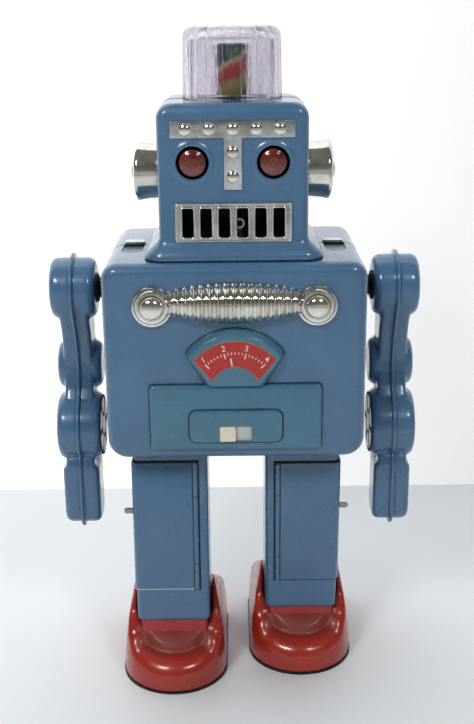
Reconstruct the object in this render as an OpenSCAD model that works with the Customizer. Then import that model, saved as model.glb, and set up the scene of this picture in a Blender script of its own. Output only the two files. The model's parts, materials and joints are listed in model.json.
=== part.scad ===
// Tin robot, battery operated, with a lit dome on its head. Millimetres, +Z up, front at -Y.
// Sides are the robot's own: right is at -X. The origin is on the floor, under the middle.
// It stands in mid-stride: the right leg is forward, the left leg is back.

/* [Torso] */
// Width of the torso
torso_w = 114.4; // [108:0.2:118]
// Depth of the torso, front to back
torso_d = 86; // [84:1:92]
// Height of the torso
torso_h = 89; // [88:1:92]
// Height of the torso's bottom edge above the floor
torso_z = 120; // [119:0.5:121]
// Y of the torso's front face
torso_front = -42.85; // [-43:0.05:-42.5]

/* [Head] */
// Width of the head
head_w = 64; // [60:1:68]
// Depth of the head
head_d = 53; // [50:1:56]
// Height of the head
head_h = 66; // [64:1:68]
// Radius of the clear dome, over its flutes
dome_r = 22; // [20:0.25:22.5]
// Number of flutes on the clear dome
dome_flutes = 16; // [12:2:24]
// Height of the clear dome
dome_h = 30; // [28:1:32]
// Radius of the ear cups
ear_r = 13.4; // [11:0.2:15]
// Number of slots in the mouth grille
mouth_slots = 6; // [4:1:7]

/* [Legs] */
// X of each leg's middle
leg_x = 31; // [30:0.5:33]
// Width of a leg
leg_w = 35; // [34.6:0.2:36]
// Depth of a leg
leg_d = 38; // [36:1:40]
// How far each leg is swung from upright at rest, in degrees
stride = 4; // [2:0.5:5]

/* [Feet] */
// Width of a shoe
foot_w = 50.6; // [46:0.2:52]
// Length of a shoe
foot_l = 82; // [78:1:86]

/* [Arms] */
// X of each arm's seam
arm_x = 74.3; // [74:0.1:76]
// Thickness of an arm at its round lobes
arm_t = 20.8; // [20:0.2:22]
// Height of the shoulder pins
shoulder_z = 189; // [188:0.5:191]

/* [Chest] */
// Number of ribs on the chest barrel
barrel_ribs = 17; // [9:2:21]
// Outer radius of the dial
dial_r = 22.7; // [21:0.1:24]

/* [Hidden] */
$fn = 48;
gear_m = 0.8;
pinion_teeth = 12;
wheel_teeth = 36;
tin = 0.6;
gap = 0.05;
eps = 0.02;

torso_top = torso_z + torso_h;
torso_back = torso_front + torso_d;
base_z = torso_z + 2.2;
base_t = 1;
seam_y = torso_front + torso_d / 2;
head_front = torso_front + 8;
head_back = head_front + head_d;
head_top = torso_top + head_h;
dome_y = (head_front + head_back) / 2;
dome_top = head_top + dome_h;

hip_y = torso_front + 40;
hip_z = torso_z + 20;
ankle_z = 31.2;
leg_len = (hip_z - ankle_z) / cos(stride);
stride_y = leg_len * sin(stride);
leg_low = hip_z - leg_len - 2.6;
leg_top = torso_z + 6;

door_low = 45.4;
door_high = 109.3;
knuckle_low = 58.7;
knuckle_high = 92.3;
hinge_x = 11.6;
hinge_r = 1.2;
pin_r = 0.6;

eye_x = 17;
eye_z = torso_top + 41.6;
ear_z = torso_top + 35;
boss_x = 35.4;
boss_z = torso_top - 18;
barrel_half = 29;
dial_z = torso_z + 33.7;
housing_t = 4.4;
panel_x = 37.8;
panel_t = 3;
panel_low = torso_z + 5.6;
panel_high = torso_z + 35.6;
slot_z = torso_z + 13.6;
slot_x = 7.2;
slot_half = 3.7;
tab_x = 45.6;
tab_half = 4.8;
lamp_x = 4;
tube_x = 2.5;
tube_z = torso_top + 15.6;

center_dist = gear_m * (pinion_teeth + wheel_teeth) / 2;
crank_z = hip_z + 28;
throw = 28 * sin(stride);
gear1_y = hip_y + center_dist;
motor_z = crank_z + center_dist;
plate_x = 9.4;
friction_r = 3.5;

blue = [0.31, 0.43, 0.57];
teal = [0.27, 0.43, 0.51];
red = [0.67, 0.18, 0.14];
silver = [0.75, 0.75, 0.72];
steel = [0.6, 0.61, 0.63];
brass = [0.78, 0.62, 0.3];
cream = [0.9, 0.88, 0.78];
black = [0.08, 0.08, 0.08];

// ---- helpers ----

// Outline in X and Z, drawn out from y0 to y1
module slab_y(y0, y1) {
    translate([0, y1, 0]) rotate([90, 0, 0]) linear_extrude(y1 - y0) children();
}

// Outline in Y and Z, drawn out from x0 to x1
module slab_x(x0, x1) {
    translate([x0, 0, 0]) rotate([90, 0, 90]) linear_extrude(x1 - x0) children();
}

module rod_x(x0, x1, r, y, z) {
    translate([x0, y, z]) rotate([0, 90, 0]) cylinder(h = x1 - x0, r = r);
}

module rod_y(y0, y1, r, x, z) {
    translate([x, y0, z]) rotate([-90, 0, 0]) cylinder(h = y1 - y0, r = r);
}

module rod_z(z0, z1, r, x, y) {
    translate([x, y, z0]) cylinder(h = z1 - z0, r = r);
}

module block(x0, x1, y0, y1, z0, z1) {
    translate([x0, y0, z0]) cube([x1 - x0, y1 - y0, z1 - z0]);
}

// Rounded rectangle from (x0, z0) to (x1, z1), with its own radius at the bottom and the top
module round_rect(x0, x1, z0, z1, r_low, r_top) {
    mid = (z0 + z1) / 2;
    translate([x0, z0 + r_low]) square([x1 - x0, z1 - z0 - r_low - r_top]);
    translate([x0 + r_low, z0]) square([x1 - x0 - 2 * r_low, mid - z0 + eps]);
    translate([x0 + r_top, mid - eps]) square([x1 - x0 - 2 * r_top, z1 - mid + eps]);
    for (x = [x0 + r_low, x1 - r_low]) translate([x, z0 + r_low]) circle(r = r_low);
    for (x = [x0 + r_top, x1 - r_top]) translate([x, z1 - r_top]) circle(r = r_top);
}

// Children drawn for a leg that hangs upright, swung to its place in the stride
module on_leg(side) {
    translate([side * leg_x, hip_y, hip_z]) rotate([side * stride, 0, 0])
        translate([0, 0, -hip_z]) scale_side(side) children();
}

// Mirrors what is drawn for the right side over to the left
module scale_side(side) {
    if (side > 0) mirror([1, 0, 0]) children();
    else children();
}

// Children drawn around the ankle pin, in a shoe that stays flat
module on_foot(side) {
    translate([side * leg_x, hip_y + side * stride_y, 0]) scale_side(side) children();
}

module on_arm(side) {
    translate([0, seam_y, 0]) scale_side(side) children();
}

// ---- torso ----

module torso_outline(shrink) {
    round_rect(-torso_w / 2 + shrink, torso_w / 2 - shrink, torso_z + shrink,
        torso_top - shrink, 9 - shrink, 7 - shrink);
}

// Everything that is cut out of both torso shells
module torso_cuts() {
    block(-51, 51, torso_front + 5, torso_back - 5, torso_z - 1, torso_z + 1.4);
    block(-20, 20, dome_y - 22, dome_y + 20, torso_top - 2, torso_top + 1);
    rod_x(-torso_w, torso_w, 2.55, seam_y, shoulder_z);
}

module torso_front_shell() {
    color(blue) difference() {
        slab_y(torso_front, seam_y) torso_outline(0);
        slab_y(torso_front + tin, seam_y + 1) torso_outline(tin);
        torso_cuts();
        block(-slot_x, slot_x, torso_front - 1, torso_front + 2, slot_z - slot_half, slot_z + slot_half);
        for (side = [-1, 1]) {
            block(side * tab_x - tab_half, side * tab_x + tab_half, seam_y - 13, seam_y + 1,
                torso_top - 2, torso_top + 1);
            rod_z(torso_top - 2, torso_top + 1, tab_half, side * tab_x, seam_y - 13);
        }
    }
}

module torso_back_shell() {
    color(blue) difference() {
        slab_y(seam_y, torso_back) torso_outline(0);
        slab_y(seam_y - 1, torso_back - tin) torso_outline(tin);
        torso_cuts();
    }
}

// Floor of the torso: an opening for each leg, an ear at each end for the hip axle, and a
// flange in front and behind that stands on the shells' lower edges
module torso_base_plate() {
    y0 = torso_front + tin + 0.2;
    y1 = torso_back - tin - 0.2;
    ear_x = 51.4;
    color(steel) difference() {
        union() {
            block(-52, 52, y0, y1, base_z, base_z + base_t);
            block(-40, 40, y0, y0 + base_t, torso_z + tin, base_z + base_t);
            block(-40, 40, y1 - base_t, y1, torso_z + tin, base_z + base_t);
            for (side = [-1, 1]) {
                block(side * ear_x - 0.6, side * ear_x + 0.6, hip_y - 8, hip_y + 8, base_z, hip_z);
                rod_x(side * ear_x - 0.6, side * ear_x + 0.6, 8, hip_y, hip_z);
            }
        }
        for (side = [-1, 1])
            block(side * leg_x - 18.6, side * leg_x + 18.6, hip_y - 23, hip_y + 23,
                base_z - 1, base_z + 2);
        rod_x(-60, 60, 2 + gap, hip_y, hip_z);
    }
}

module shoulder_tabs() {
    color(silver) for (side = [-1, 1])
        block(side * tab_x - tab_half, side * tab_x + tab_half, seam_y + 0.3, seam_y + 7,
            torso_top, torso_top + 1);
}

// ---- head ----

module head_outline(shrink) {
    round_rect(-head_w / 2 + shrink, head_w / 2 - shrink, torso_top, head_top - shrink,
        1, 6 - shrink);
}

module head_shell() {
    color(blue) difference() {
        union() {
            slab_y(head_front, head_back) head_outline(0);
            translate([0, 0, torso_top]) linear_extrude(3)
                round_rect(-38.6, 38.6, dome_y - 30.5, dome_y + 30.5, 8, 8);
            translate([0, 0, torso_top + 3 - eps]) linear_extrude(4)
                round_rect(-34.5, 34.5, dome_y - 28.2, dome_y + 28.2, 6, 6);
        }
        slab_y(head_front + tin, head_back - tin) head_outline(tin);
        block(-head_w / 2 + tin, head_w / 2 - tin, head_front + tin, head_back - tin,
            torso_top - 1, torso_top + 30);
        for (side = [-1, 1])
            rod_y(head_front - 1, head_front + 2, 6.9, side * eye_x, eye_z);
        block(-23, 23, head_front - 1, head_front + 2, torso_top + 9.4, torso_top + 23.2);
        rod_z(head_top - 2, head_top + 1, 7.4, 0, dome_y);
    }
}

// Cross plate inside the head: holds the bulbs and guides the drum's shaft
module head_frame() {
    frame_z = torso_top + 57;
    color(steel) difference() {
        union() {
            block(-head_w / 2 + tin, head_w / 2 - tin, dome_y - 12, dome_y + 12, frame_z, frame_z + 1);
            block(-24, 24, dome_y - 13, dome_y - 12, frame_z - 22, frame_z + 1);
        }
        rod_z(frame_z - 1, frame_z + 2, 1.25 + gap, 0, dome_y);
        rod_z(frame_z - 1, frame_z + 2, 2.3, lamp_x, dome_y);
        for (side = [-1, 1])
            rod_y(dome_y - 14, dome_y - 11, 3.2, side * eye_x, eye_z);
    }
}

// Fluted clear cap with a rounded upper edge, hollow from below
module crystal_dome() {
    flute_r = 3.6;
    edge_r = 3.5;
    core_r = dome_r - 1.6;
    color([0.8, 0.76, 0.88, 0.5]) translate([0, dome_y, 0]) difference() {
        union() {
            rotate_extrude() polygon(concat(
                [[0, head_top], [core_r, head_top]],
                [for (a = [0 : 15 : 90])
                    [core_r - edge_r + edge_r * cos(a), dome_top - edge_r + edge_r * sin(a)]],
                [[0, dome_top]]
            ));
            for (i = [0 : dome_flutes - 1]) rotate([0, 0, (i + 0.5) * 360 / dome_flutes])
                translate([dome_r - flute_r, 0, 0]) {
                    rod_z(head_top, dome_top - 1 - flute_r, flute_r, 0, 0);
                    translate([0, 0, dome_top - 1 - flute_r]) sphere(r = flute_r);
                }
        }
        rod_z(head_top - 1, dome_top - 2.4, dome_r - 4.4, 0, 0);
    }
}

// T-shaped plate: a brow with the nose below it
module face_plate() {
    color(silver) slab_y(head_front - 0.8, head_front) {
        translate([-26.1, torso_top + 51.8]) square([52.2, 7.2]);
        translate([-3.85, torso_top + 30.2]) square([7.7, 22]);
    }
}

module face_rivet(x, z) {
    translate([x, head_front - 0.8, z]) rotate([90, 0, 0]) rotate_extrude() intersection() {
        translate([0, -1.4]) circle(r = 2.65);
        square([3, 1.3]);
    }
}

module face_rivets() {
    color(silver) {
        for (i = [-2 : 2]) face_rivet(9.9 * i, torso_top + 55.4);
        for (z = [46, 35.8]) face_rivet(0, torso_top + z);
    }
}

module mouth_grille() {
    pitch = 7.75;
    slot_w = 5.9;
    color(silver) slab_y(head_front - 1.2, head_front) difference() {
        round_rect(-24.75, 24.75, torso_top + 8.2, torso_top + 24.8, 0.6, 0.6);
        for (i = [0 : mouth_slots - 1])
            translate([(i - (mouth_slots - 1) / 2) * pitch - slot_w / 2, torso_top + 9.8])
                square([slot_w, 13]);
    }
}

// Tube from the vapour chamber up to its open end behind the mouth
module vapour_tube() {
    bend_y = hip_y - 16;
    color(steel) difference() {
        union() {
            rod_z(torso_top - 11, tube_z, 2.2, tube_x, bend_y);
            translate([tube_x, bend_y, tube_z]) sphere(r = 2.2);
            rod_y(head_front + 2, bend_y, 2.2, tube_x, tube_z);
        }
        rod_z(torso_top - 12, tube_z, 1.5, tube_x, bend_y);
        rod_y(head_front, bend_y, 1.5, tube_x, tube_z);
    }
}

// Domed lens with a rim that sits behind the head's front wall
module eye_lens(side) {
    color([0.4, 0.05, 0.04]) translate([side * eye_x, head_front + tin, eye_z])
        rotate([-90, 0, 0]) rotate_extrude() {
            difference() {
                intersection() {
                    translate([0, 5.2]) circle(r = 8.2);
                    translate([0, -3]) square([6.4, 4.2]);
                }
                translate([0, 6.4]) circle(r = 8.2);
            }
            difference() {
                square([8.2, 1]);
                translate([-1, -1]) square([6.2, 3]);
            }
        }
}

module eye_lens_right() { eye_lens(-1); }

module eye_lens_left() { eye_lens(1); }

module lamp_bulbs() {
    color([1, 0.9, 0.7]) {
        for (side = [-1, 1]) {
            rod_y(dome_y - 16, dome_y - 5, 3.1, side * eye_x, eye_z);
            translate([side * eye_x, dome_y - 18, eye_z]) sphere(r = 3.4);
        }
        rod_z(torso_top + 52, head_top + 3, 2.2, lamp_x, dome_y);
        translate([lamp_x, dome_y, head_top + 5]) sphere(r = 2.4);
    }
}

// Turned cup with a nub in its middle
module ear_cup(side) {
    x0 = head_w / 2;
    cup = 11.6;
    color(silver) translate([side * x0, dome_y, ear_z]) rotate([0, side * 90, 0])
        rotate_extrude() polygon(concat(
            [[0, 0], [ear_r - 1.6, 0], [ear_r - 1.2, 4]],
            [for (a = [0 : 15 : 90]) [ear_r - 2.4 + 2.4 * cos(a), cup - 2.4 + 2.4 * sin(a)]],
            [[4.6, cup - 0.4], [3.9, cup + 0.6]],
            [for (a = [0 : 30 : 90]) [3.5 * cos(a), cup + 0.6 + 1.2 * sin(a)]]
        ));
}

module ear_cup_right() { ear_cup(-1); }

module ear_cup_left() { ear_cup(1); }

// ---- chest ----

// Ribbed half barrel between the two bosses
module chest_barrel() {
    n = 2 * barrel_ribs;
    color(silver) intersection() {
        translate([0, torso_front, boss_z + 1.2]) rotate([0, 90, 0]) rotate_extrude()
            polygon(concat(
                [[0, -barrel_half]],
                [for (i = [0 : n]) let (t = -1 + 2 * i / n)
                    [4.6 + 4.6 * cos(78 * t) - (i % 2 == 0 ? 0.8 : 0), barrel_half * t]],
                [[0, barrel_half]]
            ));
        block(-40, 40, torso_front - 12, torso_front, boss_z - 15, boss_z + 15);
    }
}

// Stepped discs, each with a notch that takes the end of the barrel
module chest_bosses() {
    color(silver) for (side = [-1, 1])
        translate([side * boss_x, torso_front, boss_z]) rotate([90, 0, 0])
            difference() {
                union() {
                    cylinder(h = 3, r = 8.9);
                    cylinder(h = 4.4, r = 7.6);
                    translate([0, 0, 1.4]) intersection() {
                        sphere(r = 5.4);
                        translate([-6, -6, 0]) cube([12, 12, 6]);
                    }
                }
                translate([side * (barrel_half - 2.8 - boss_x) - 3, -4.2, -1])
                    cube([6, 10.8, 8]);
            }
}

// Points of an arc around the dial's centre, from -half to half degrees off upright
function dial_arc(r, half) = [for (i = [-12 : 12]) let (a = half * i / 12)
    [r * sin(a), dial_z + r * cos(a)]];

// Fan-shaped cover whose lower lip lies in front of the panel's top edge
module gauge_housing() {
    lip_z = panel_high - 1.4;
    color(teal) {
        slab_y(torso_front - housing_t, torso_front)
            polygon(concat(dial_arc(dial_r + 4.6, 53), [[13.2, panel_high], [-13.2, panel_high]]));
        slab_y(torso_front - housing_t, torso_front - panel_t)
            polygon([[-13.2, panel_high], [-12.4, lip_z], [12.4, lip_z], [13.2, panel_high]]);
    }
}

module gauge_dial() {
    color(red) slab_y(torso_front - housing_t - 0.4, torso_front - housing_t)
        polygon(concat(dial_arc(dial_r, 49), dial_arc(10.9, -65)));
}

module chest_panel() {
    color(teal) difference() {
        union() {
            slab_y(torso_front - panel_t, torso_front)
                round_rect(-panel_x, panel_x, panel_low, panel_high, 1, 1);
            slab_y(torso_front - panel_t - 0.8, torso_front - panel_t + 0.1)
                round_rect(-20.6, 20.6, slot_z - 4.3, slot_z + 10.9, 2.5, 2.5);
        }
        block(-slot_x, slot_x, torso_front - 5, torso_front + 1, slot_z - slot_half, slot_z + slot_half);
    }
}

// Sliding button with its foot behind the front wall
module switch_knob() {
    color(cream) {
        block(-7.1, -0.1, torso_front - 5.2, torso_front + 1.2, slot_z - 3.4, slot_z + 3.4);
        block(-10.5, 2.5, torso_front + tin + 0.2, torso_front + 2, slot_z - 5, slot_z + 5);
    }
}

module switch_contacts() {
    board = torso_front + 2.6;
    color(brass) {
        block(-16, 16, board, board + 1.2, slot_z - 7, slot_z + 7);
        for (side = [-1, 1])
            block(side * 14.5 - 1.4, side * 14.5 + 1.4, torso_front + tin, board,
                slot_z - 6, slot_z + 6);
        for (x = [-6, 6])
            block(x - 1.5, x + 1.5, board + 1.2, board + 4, slot_z - 6, slot_z - 5.4);
    }
}

// ---- drive ----

// Spur gear in Y and Z; the first tooth points along +Y, turned by phase degrees
module gear_outline(teeth, phase) {
    pitch_r = gear_m * teeth / 2;
    root_r = pitch_r - 1.2 * gear_m;
    tip_r = pitch_r + 0.75 * gear_m;
    step = 360 / teeth;
    polygon([for (i = [0 : teeth - 1]) let (a = i * step + phase)
        each [
            [root_r * cos(a - 0.32 * step), root_r * sin(a - 0.32 * step)],
            [pitch_r * cos(a - 0.20 * step), pitch_r * sin(a - 0.20 * step)],
            [tip_r * cos(a - 0.09 * step), tip_r * sin(a - 0.09 * step)],
            [tip_r * cos(a + 0.09 * step), tip_r * sin(a + 0.09 * step)],
            [pitch_r * cos(a + 0.20 * step), pitch_r * sin(a + 0.20 * step)],
            [root_r * cos(a + 0.32 * step), root_r * sin(a + 0.32 * step)]
        ]]);
}

module gear(x0, x1, y, z, teeth, phase) {
    translate([0, y, z]) slab_x(x0, x1) gear_outline(teeth, phase);
}

module motor() {
    x0 = plate_x + 1;
    color(silver) difference() {
        union() {
            rod_x(x0, x0 + 28, 10.5, gear1_y, motor_z);
            rod_x(x0 + 28, x0 + 30, 3.5, gear1_y, motor_z);
        }
        rod_x(x0 - 1, x0 + 6, 1 + gap, gear1_y, motor_z);
    }
}

module motor_pinion() {
    color(brass) {
        gear(1.8, 5, gear1_y, motor_z, pinion_teeth, -90);
        rod_x(1.8, plate_x + 6, 1, gear1_y, motor_z);
    }
}

module reduction_gear() {
    color(brass) {
        gear(2.2, 4.6, gear1_y, crank_z, wheel_teeth, 90 + 180 / wheel_teeth);
        gear(-6.8, 2.2, gear1_y, crank_z, pinion_teeth, 180);
        rod_x(-plate_x - 1, plate_x + 1, 1.5, gear1_y, crank_z);
    }
}

// Gear on the crankshaft, with a crank disc and its pin at each end
module crank_gear() {
    color(steel) {
        gear(-6.4, -3.6, hip_y, crank_z, wheel_teeth, 180 / wheel_teeth);
        rod_x(-12.2, 12.2, 2, hip_y, crank_z);
        for (side = [-1, 1]) {
            inner = side > 0 ? 10.8 : -12.2;
            rod_x(inner, inner + 1.4, 6, hip_y, crank_z);
            rod_x(side > 0 ? 12.2 : -13.6, side > 0 ? 13.6 : -12.2, 1.2,
                hip_y - side * throw, crank_z);
        }
    }
}

module gearbox_plate(side) {
    x0 = side > 0 ? plate_x : -plate_x - 1;
    color(steel) difference() {
        block(x0, x0 + 1, hip_y - 14, hip_y + 36, base_z + base_t, torso_top - 9);
        rod_x(-20, 20, 2 + gap, hip_y, hip_z);
        rod_x(-20, 20, 2 + gap, hip_y, crank_z);
        rod_x(-20, 20, 1.5 + gap, gear1_y, crank_z);
        if (side > 0) rod_x(0, 20, 1.3, gear1_y, motor_z);
    }
}

module gearbox_plate_right() { gearbox_plate(-1); }

module gearbox_plate_left() { gearbox_plate(1); }

module gearbox_spacers() {
    color(brass) for (y = [hip_y - 11, hip_y + 32], z = [torso_z + 9, torso_top - 13])
        rod_x(-plate_x, plate_x, 2, y, z);
}

module hip_axle() {
    color(steel) rod_x(-53, 53, 2, hip_y, hip_z);
}

module vapour_chamber() {
    color(brass) {
        difference() {
            rod_z(torso_top - 29, torso_top - 11, 8.5, tube_x, hip_y - 22.5);
            rod_z(torso_top - 28, torso_top - 12, 7.7, tube_x, hip_y - 22.5);
            rod_z(torso_top - 14, torso_top - 10, 1.5, tube_x, hip_y - 16);
        }
        block(-plate_x - 1, plate_x + 1, hip_y - 14.8, hip_y - 14, torso_top - 26, torso_top - 16);
    }
}

module pump_cylinder() {
    z0 = torso_z + 30;
    color(brass) difference() {
        union() {
            rod_z(z0, z0 + 24, 7.6, tube_x, hip_y - 24);
            rod_z(z0 + 24, torso_top - 29, 2.5, tube_x, hip_y - 24);
        }
        rod_z(z0 - 1, z0 + 22.8, 6.5 + gap, tube_x, hip_y - 24);
    }
}

module pump_piston() {
    z0 = torso_z + 34;
    color(steel) {
        rod_z(z0, z0 + 4, 6.5, tube_x, hip_y - 24);
        rod_z(z0 - 9, z0, 1.2, tube_x, hip_y - 24);
        rod_x(tube_x - 1.5, tube_x + 1.5, 2.4, hip_y - 24, z0 - 10);
    }
}

// Upright shaft, turned by a wheel that rubs on the face of the crank gear
module drum_shaft() {
    wheel_z = crank_z + 9;
    color(steel) {
        rod_z(wheel_z - 3, dome_top - 6, 1.25, 0, dome_y);
        rod_z(wheel_z - 1, wheel_z + 1, friction_r, 0, dome_y);
    }
}

module colour_drum() {
    z0 = head_top + 1.6;
    color([0.85, 0.3, 0.2]) difference() {
        rod_z(z0, dome_top - 6, 7.8, 0, dome_y);
        rod_z(z0 - 1, dome_top - 6.8, 7, 0, dome_y);
        rod_z(dome_top - 8, dome_top - 5, 1.25 + eps, 0, dome_y);
    }
}

// ---- legs ----

module leg_plan(shrink) {
    round_rect(-leg_w / 2 + shrink, leg_w / 2 - shrink, -leg_d / 2 + shrink,
        leg_d / 2 - shrink, 2.4 - shrink, 2.4 - shrink);
}

// Tube with a battery window in front, two hinge knuckles and a shelf for the cell
module leg_shell(side) {
    front = -leg_d / 2;
    color(blue) on_leg(side) difference() {
        union() {
            difference() {
                translate([0, 0, leg_low]) linear_extrude(leg_top - leg_low) leg_plan(0);
                translate([0, 0, leg_low - 1]) linear_extrude(leg_top - leg_low + 2) leg_plan(tin);
                block(-leg_w / 2 + 2.6, hinge_x - 2, front - 1, front + 1,
                    door_low + 1.8, door_high - 1.8);
                block(hinge_x - 3, hinge_x + 1.5, front - 1, front + 1,
                    knuckle_low - 0.3, knuckle_high + 0.3);
            }
            rod_z(door_low, knuckle_low - 0.1, hinge_r, hinge_x, front - 0.3);
            rod_z(knuckle_high + 0.1, door_high, hinge_r, hinge_x, front - 0.3);
            block(-leg_w / 2 + tin, leg_w / 2 - tin, -14, 14, door_low - 1.4, door_low - 0.4);
        }
        rod_z(door_low - 1, door_high + 1, pin_r + eps, hinge_x, front - 0.3);
        rod_x(-leg_w, leg_w, 1.2 + gap, 0, hip_z - leg_len);
    }
}

module leg_shell_right() { leg_shell(-1); }

module leg_shell_left() { leg_shell(1); }

// Bracket in the top of the leg; its inner ear reaches up to a fork for the crank pin
module leg_yoke(side) {
    ear_outer = leg_w / 2 - tin;
    color(steel) on_leg(side) difference() {
        union() {
            block(-ear_outer, ear_outer, -10, 10, door_high + 1.2, door_high + 2.4);
            for (x0 = [-ear_outer, ear_outer - 1.2]) {
                block(x0, x0 + 1.2, -7, 7, door_high + 1.2, hip_z);
                rod_x(x0, x0 + 1.2, 7, 0, hip_z);
            }
            block(ear_outer - 1.2, ear_outer, -4, 4, hip_z, hip_z + 31.5);
        }
        rod_x(-leg_w, leg_w, 2 + gap, 0, hip_z);
        block(ear_outer - 2, ear_outer + 1, -1.6, 1.6, hip_z + 23, hip_z + 33);
    }
}

module leg_yoke_right() { leg_yoke(-1); }

module leg_yoke_left() { leg_yoke(1); }

module battery(side) {
    color([0.35, 0.12, 0.1]) on_leg(side) {
        rod_z(door_low - 0.4, door_high - 1.6, 16.4, 0, 0);
        rod_z(door_high - 1.6, door_high, 4.7, 0, 0);
    }
}

module battery_right() { battery(-1); }

module battery_left() { battery(1); }

// Cover of the battery window: wraps the leg's outer edge and ends in a pull tab
module battery_door(side) {
    front = -leg_d / 2;
    outer = -leg_w / 2 - 0.7;
    color(blue) on_leg(side) difference() {
        union() {
            block(outer, hinge_x - 0.4, front - 0.7, front - 0.1, door_low, door_high);
            block(outer, outer + tin, front - 0.7, front + 6, door_low, door_high);
            block(outer - 4.6, outer + tin, front + 5.2, front + 6, 82, 85);
            rod_z(knuckle_low + 0.1, knuckle_high - 0.1, hinge_r, hinge_x, front - 0.3);
        }
        for (z = [[door_low - 1, knuckle_low + 0.1], [knuckle_high - 0.1, door_high + 1]])
            rod_z(z[0], z[1], hinge_r + 0.25, hinge_x, front - 0.3);
        rod_z(knuckle_low - 1, knuckle_high + 1, pin_r + gap, hinge_x, front - 0.3);
    }
}

module battery_door_right() { battery_door(-1); }

module battery_door_left() { battery_door(1); }

module hinge_pin(side) {
    color(steel) on_leg(side) rod_z(door_low, door_high + 0.2, pin_r, hinge_x, -leg_d / 2 - 0.3);
}

module hinge_pin_right() { hinge_pin(-1); }

module hinge_pin_left() { hinge_pin(1); }

// ---- feet ----

toe_y = -35;
heel_y = toe_y + foot_l;
sole_t = 1.4;
scoop_w = 19.8;

// Round toe and rounded heel, seen from above
module foot_plan(shrink) {
    half = foot_w / 2 - shrink;
    heel_r = 13;
    translate([0, toe_y + foot_w / 2]) circle(r = half);
    translate([-half, toe_y + foot_w / 2]) square([2 * half, foot_l - foot_w / 2 - heel_r]);
    translate([-half + heel_r - shrink, toe_y + foot_w / 2])
        square([2 * (half - heel_r + shrink), foot_l - foot_w / 2 - shrink]);
    for (side = [-1, 1])
        translate([side * (foot_w / 2 - heel_r), heel_y - heel_r]) circle(r = heel_r - shrink);
}

// Height of the shoe, seen from the side: low at the toe, highest beside the ankle pin
module foot_side(drop) {
    translate([0, -drop]) polygon([
        [toe_y - 1, sole_t], [toe_y - 1, 13], [toe_y + 4, 15.5], [toe_y + 9, 17.5],
        [-12, 33], [-6, 41], [-2, 43.6], [3, 43.6], [8, 40], [16, 32],
        [30, 27], [heel_y - 4, 24], [heel_y + 1, 20], [heel_y + 1, sole_t]
    ]);
}

// Space above the instep, between the side walls
module foot_scoop(grow) {
    slab_x(-scoop_w - grow, scoop_w + grow) translate([0, -grow]) polygon([
        [toe_y + 8, 17.2], [-20.5, 25.6], [24, 25.6], [24, 60], [toe_y + 8, 60]
    ]);
}

module foot_shell(side) {
    color(red) on_foot(side) difference() {
        union() {
            difference() {
                intersection() {
                    translate([0, 0, sole_t]) linear_extrude(50) foot_plan(0);
                    slab_x(-30, 30) foot_side(0);
                }
                difference() {
                    intersection() {
                        translate([0, 0, sole_t - 1]) linear_extrude(50) foot_plan(0.8);
                        slab_x(-30, 30) foot_side(0.8);
                    }
                    foot_scoop(0.8);
                }
                foot_scoop(0);
            }
            block(-14.6, 14.6, -16.4, 16.4, 25, 34.6);
        }
        rod_x(-foot_w, foot_w, 1.2 + eps, 0, ankle_z);
        block(-13.6, 13.6, -15.4, 15.4, 20, 33.6);
    }
}

module foot_shell_right() { foot_shell(-1); }

module foot_shell_left() { foot_shell(1); }

// Sole plate with a slot for each roller and an ear for each end of the roller's axle
module foot_sole(side) {
    color(black) on_foot(side) difference() {
        union() {
            linear_extrude(sole_t) foot_plan(-0.3);
            for (x = [-18, 16.8]) block(x, x + 1.2, 2, 10, sole_t - eps, 7);
        }
        for (x = [-11.5, 11.5]) block(x - 3.2, x + 3.2, 0.5, 11.5, -1, sole_t + 1);
        rod_x(-20, 20, 1 + gap, 6, 4.1);
    }
}

module foot_sole_right() { foot_sole(-1); }

module foot_sole_left() { foot_sole(1); }

module foot_roller(side) {
    color(black) on_foot(side) {
        rod_x(-18.2, 18.2, 1, 6, 4.1);
        for (x = [-11.5, 11.5]) rod_x(x - 2.6, x + 2.6, 4, 6, 4.1);
    }
}

module foot_roller_right() { foot_roller(-1); }

module foot_roller_left() { foot_roller(1); }

// One rivet on each side of the ankle, from the shoe's wall into the leg
module ankle_pins(side) {
    color(silver) on_foot(side) for (end = [-1, 1]) {
        x0 = end > 0 ? 15.4 : -21;
        rod_x(x0, x0 + 5.6, 1.2, 0, ankle_z);
        washer = end > 0 ? 17.7 : -18.9;
        rod_x(washer, washer + 1.2, 2.2, 0, ankle_z);
    }
}

module ankle_pins_right() { ankle_pins(-1); }

module ankle_pins_left() { ankle_pins(1); }

// ---- arms ----

waist_t = 6.8;
hand_t = 8.6;
bead_t = 0.8;
bead_out = 2.2;
hand_low = shoulder_z - 115.4;

// Round lobes of an arm: Y and Z of the centre, and radius
ARM_LOBES = [[0, shoulder_z, 14.2], [9.5, shoulder_z - 40, 11.6], [0, shoulder_z - 68, 16.4]];

// Side view of an arm that is bent at the elbow, which lies further back
module arm_outline(grow) {
    slope = 1.25 * grow;
    for (lobe = ARM_LOBES) translate([lobe[0], lobe[1]]) circle(r = lobe[2] + grow);
    polygon([
        [-10 - slope, shoulder_z - 10], [-6.2 - slope, shoulder_z - 17.5], [-3.2 - slope, shoulder_z - 27],
        [-2.2 - slope, shoulder_z - 37], [-3.4 - slope, shoulder_z - 47], [-6.8 - slope, shoulder_z - 53.5],
        [-11.6 - slope, shoulder_z - 56.6], [11.6 + slope, shoulder_z - 56.6],
        [20.2 + slope, shoulder_z - 44.5], [20.6 + slope, shoulder_z - 36], [13 + slope, shoulder_z - 6]
    ]);
    hand_outline(grow);
}

module hand_outline(grow) {
    round_rect(-14.6 - grow, 5.4 + grow, hand_low - grow, shoulder_z - 68, 7.6 + grow, 1);
}

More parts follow.
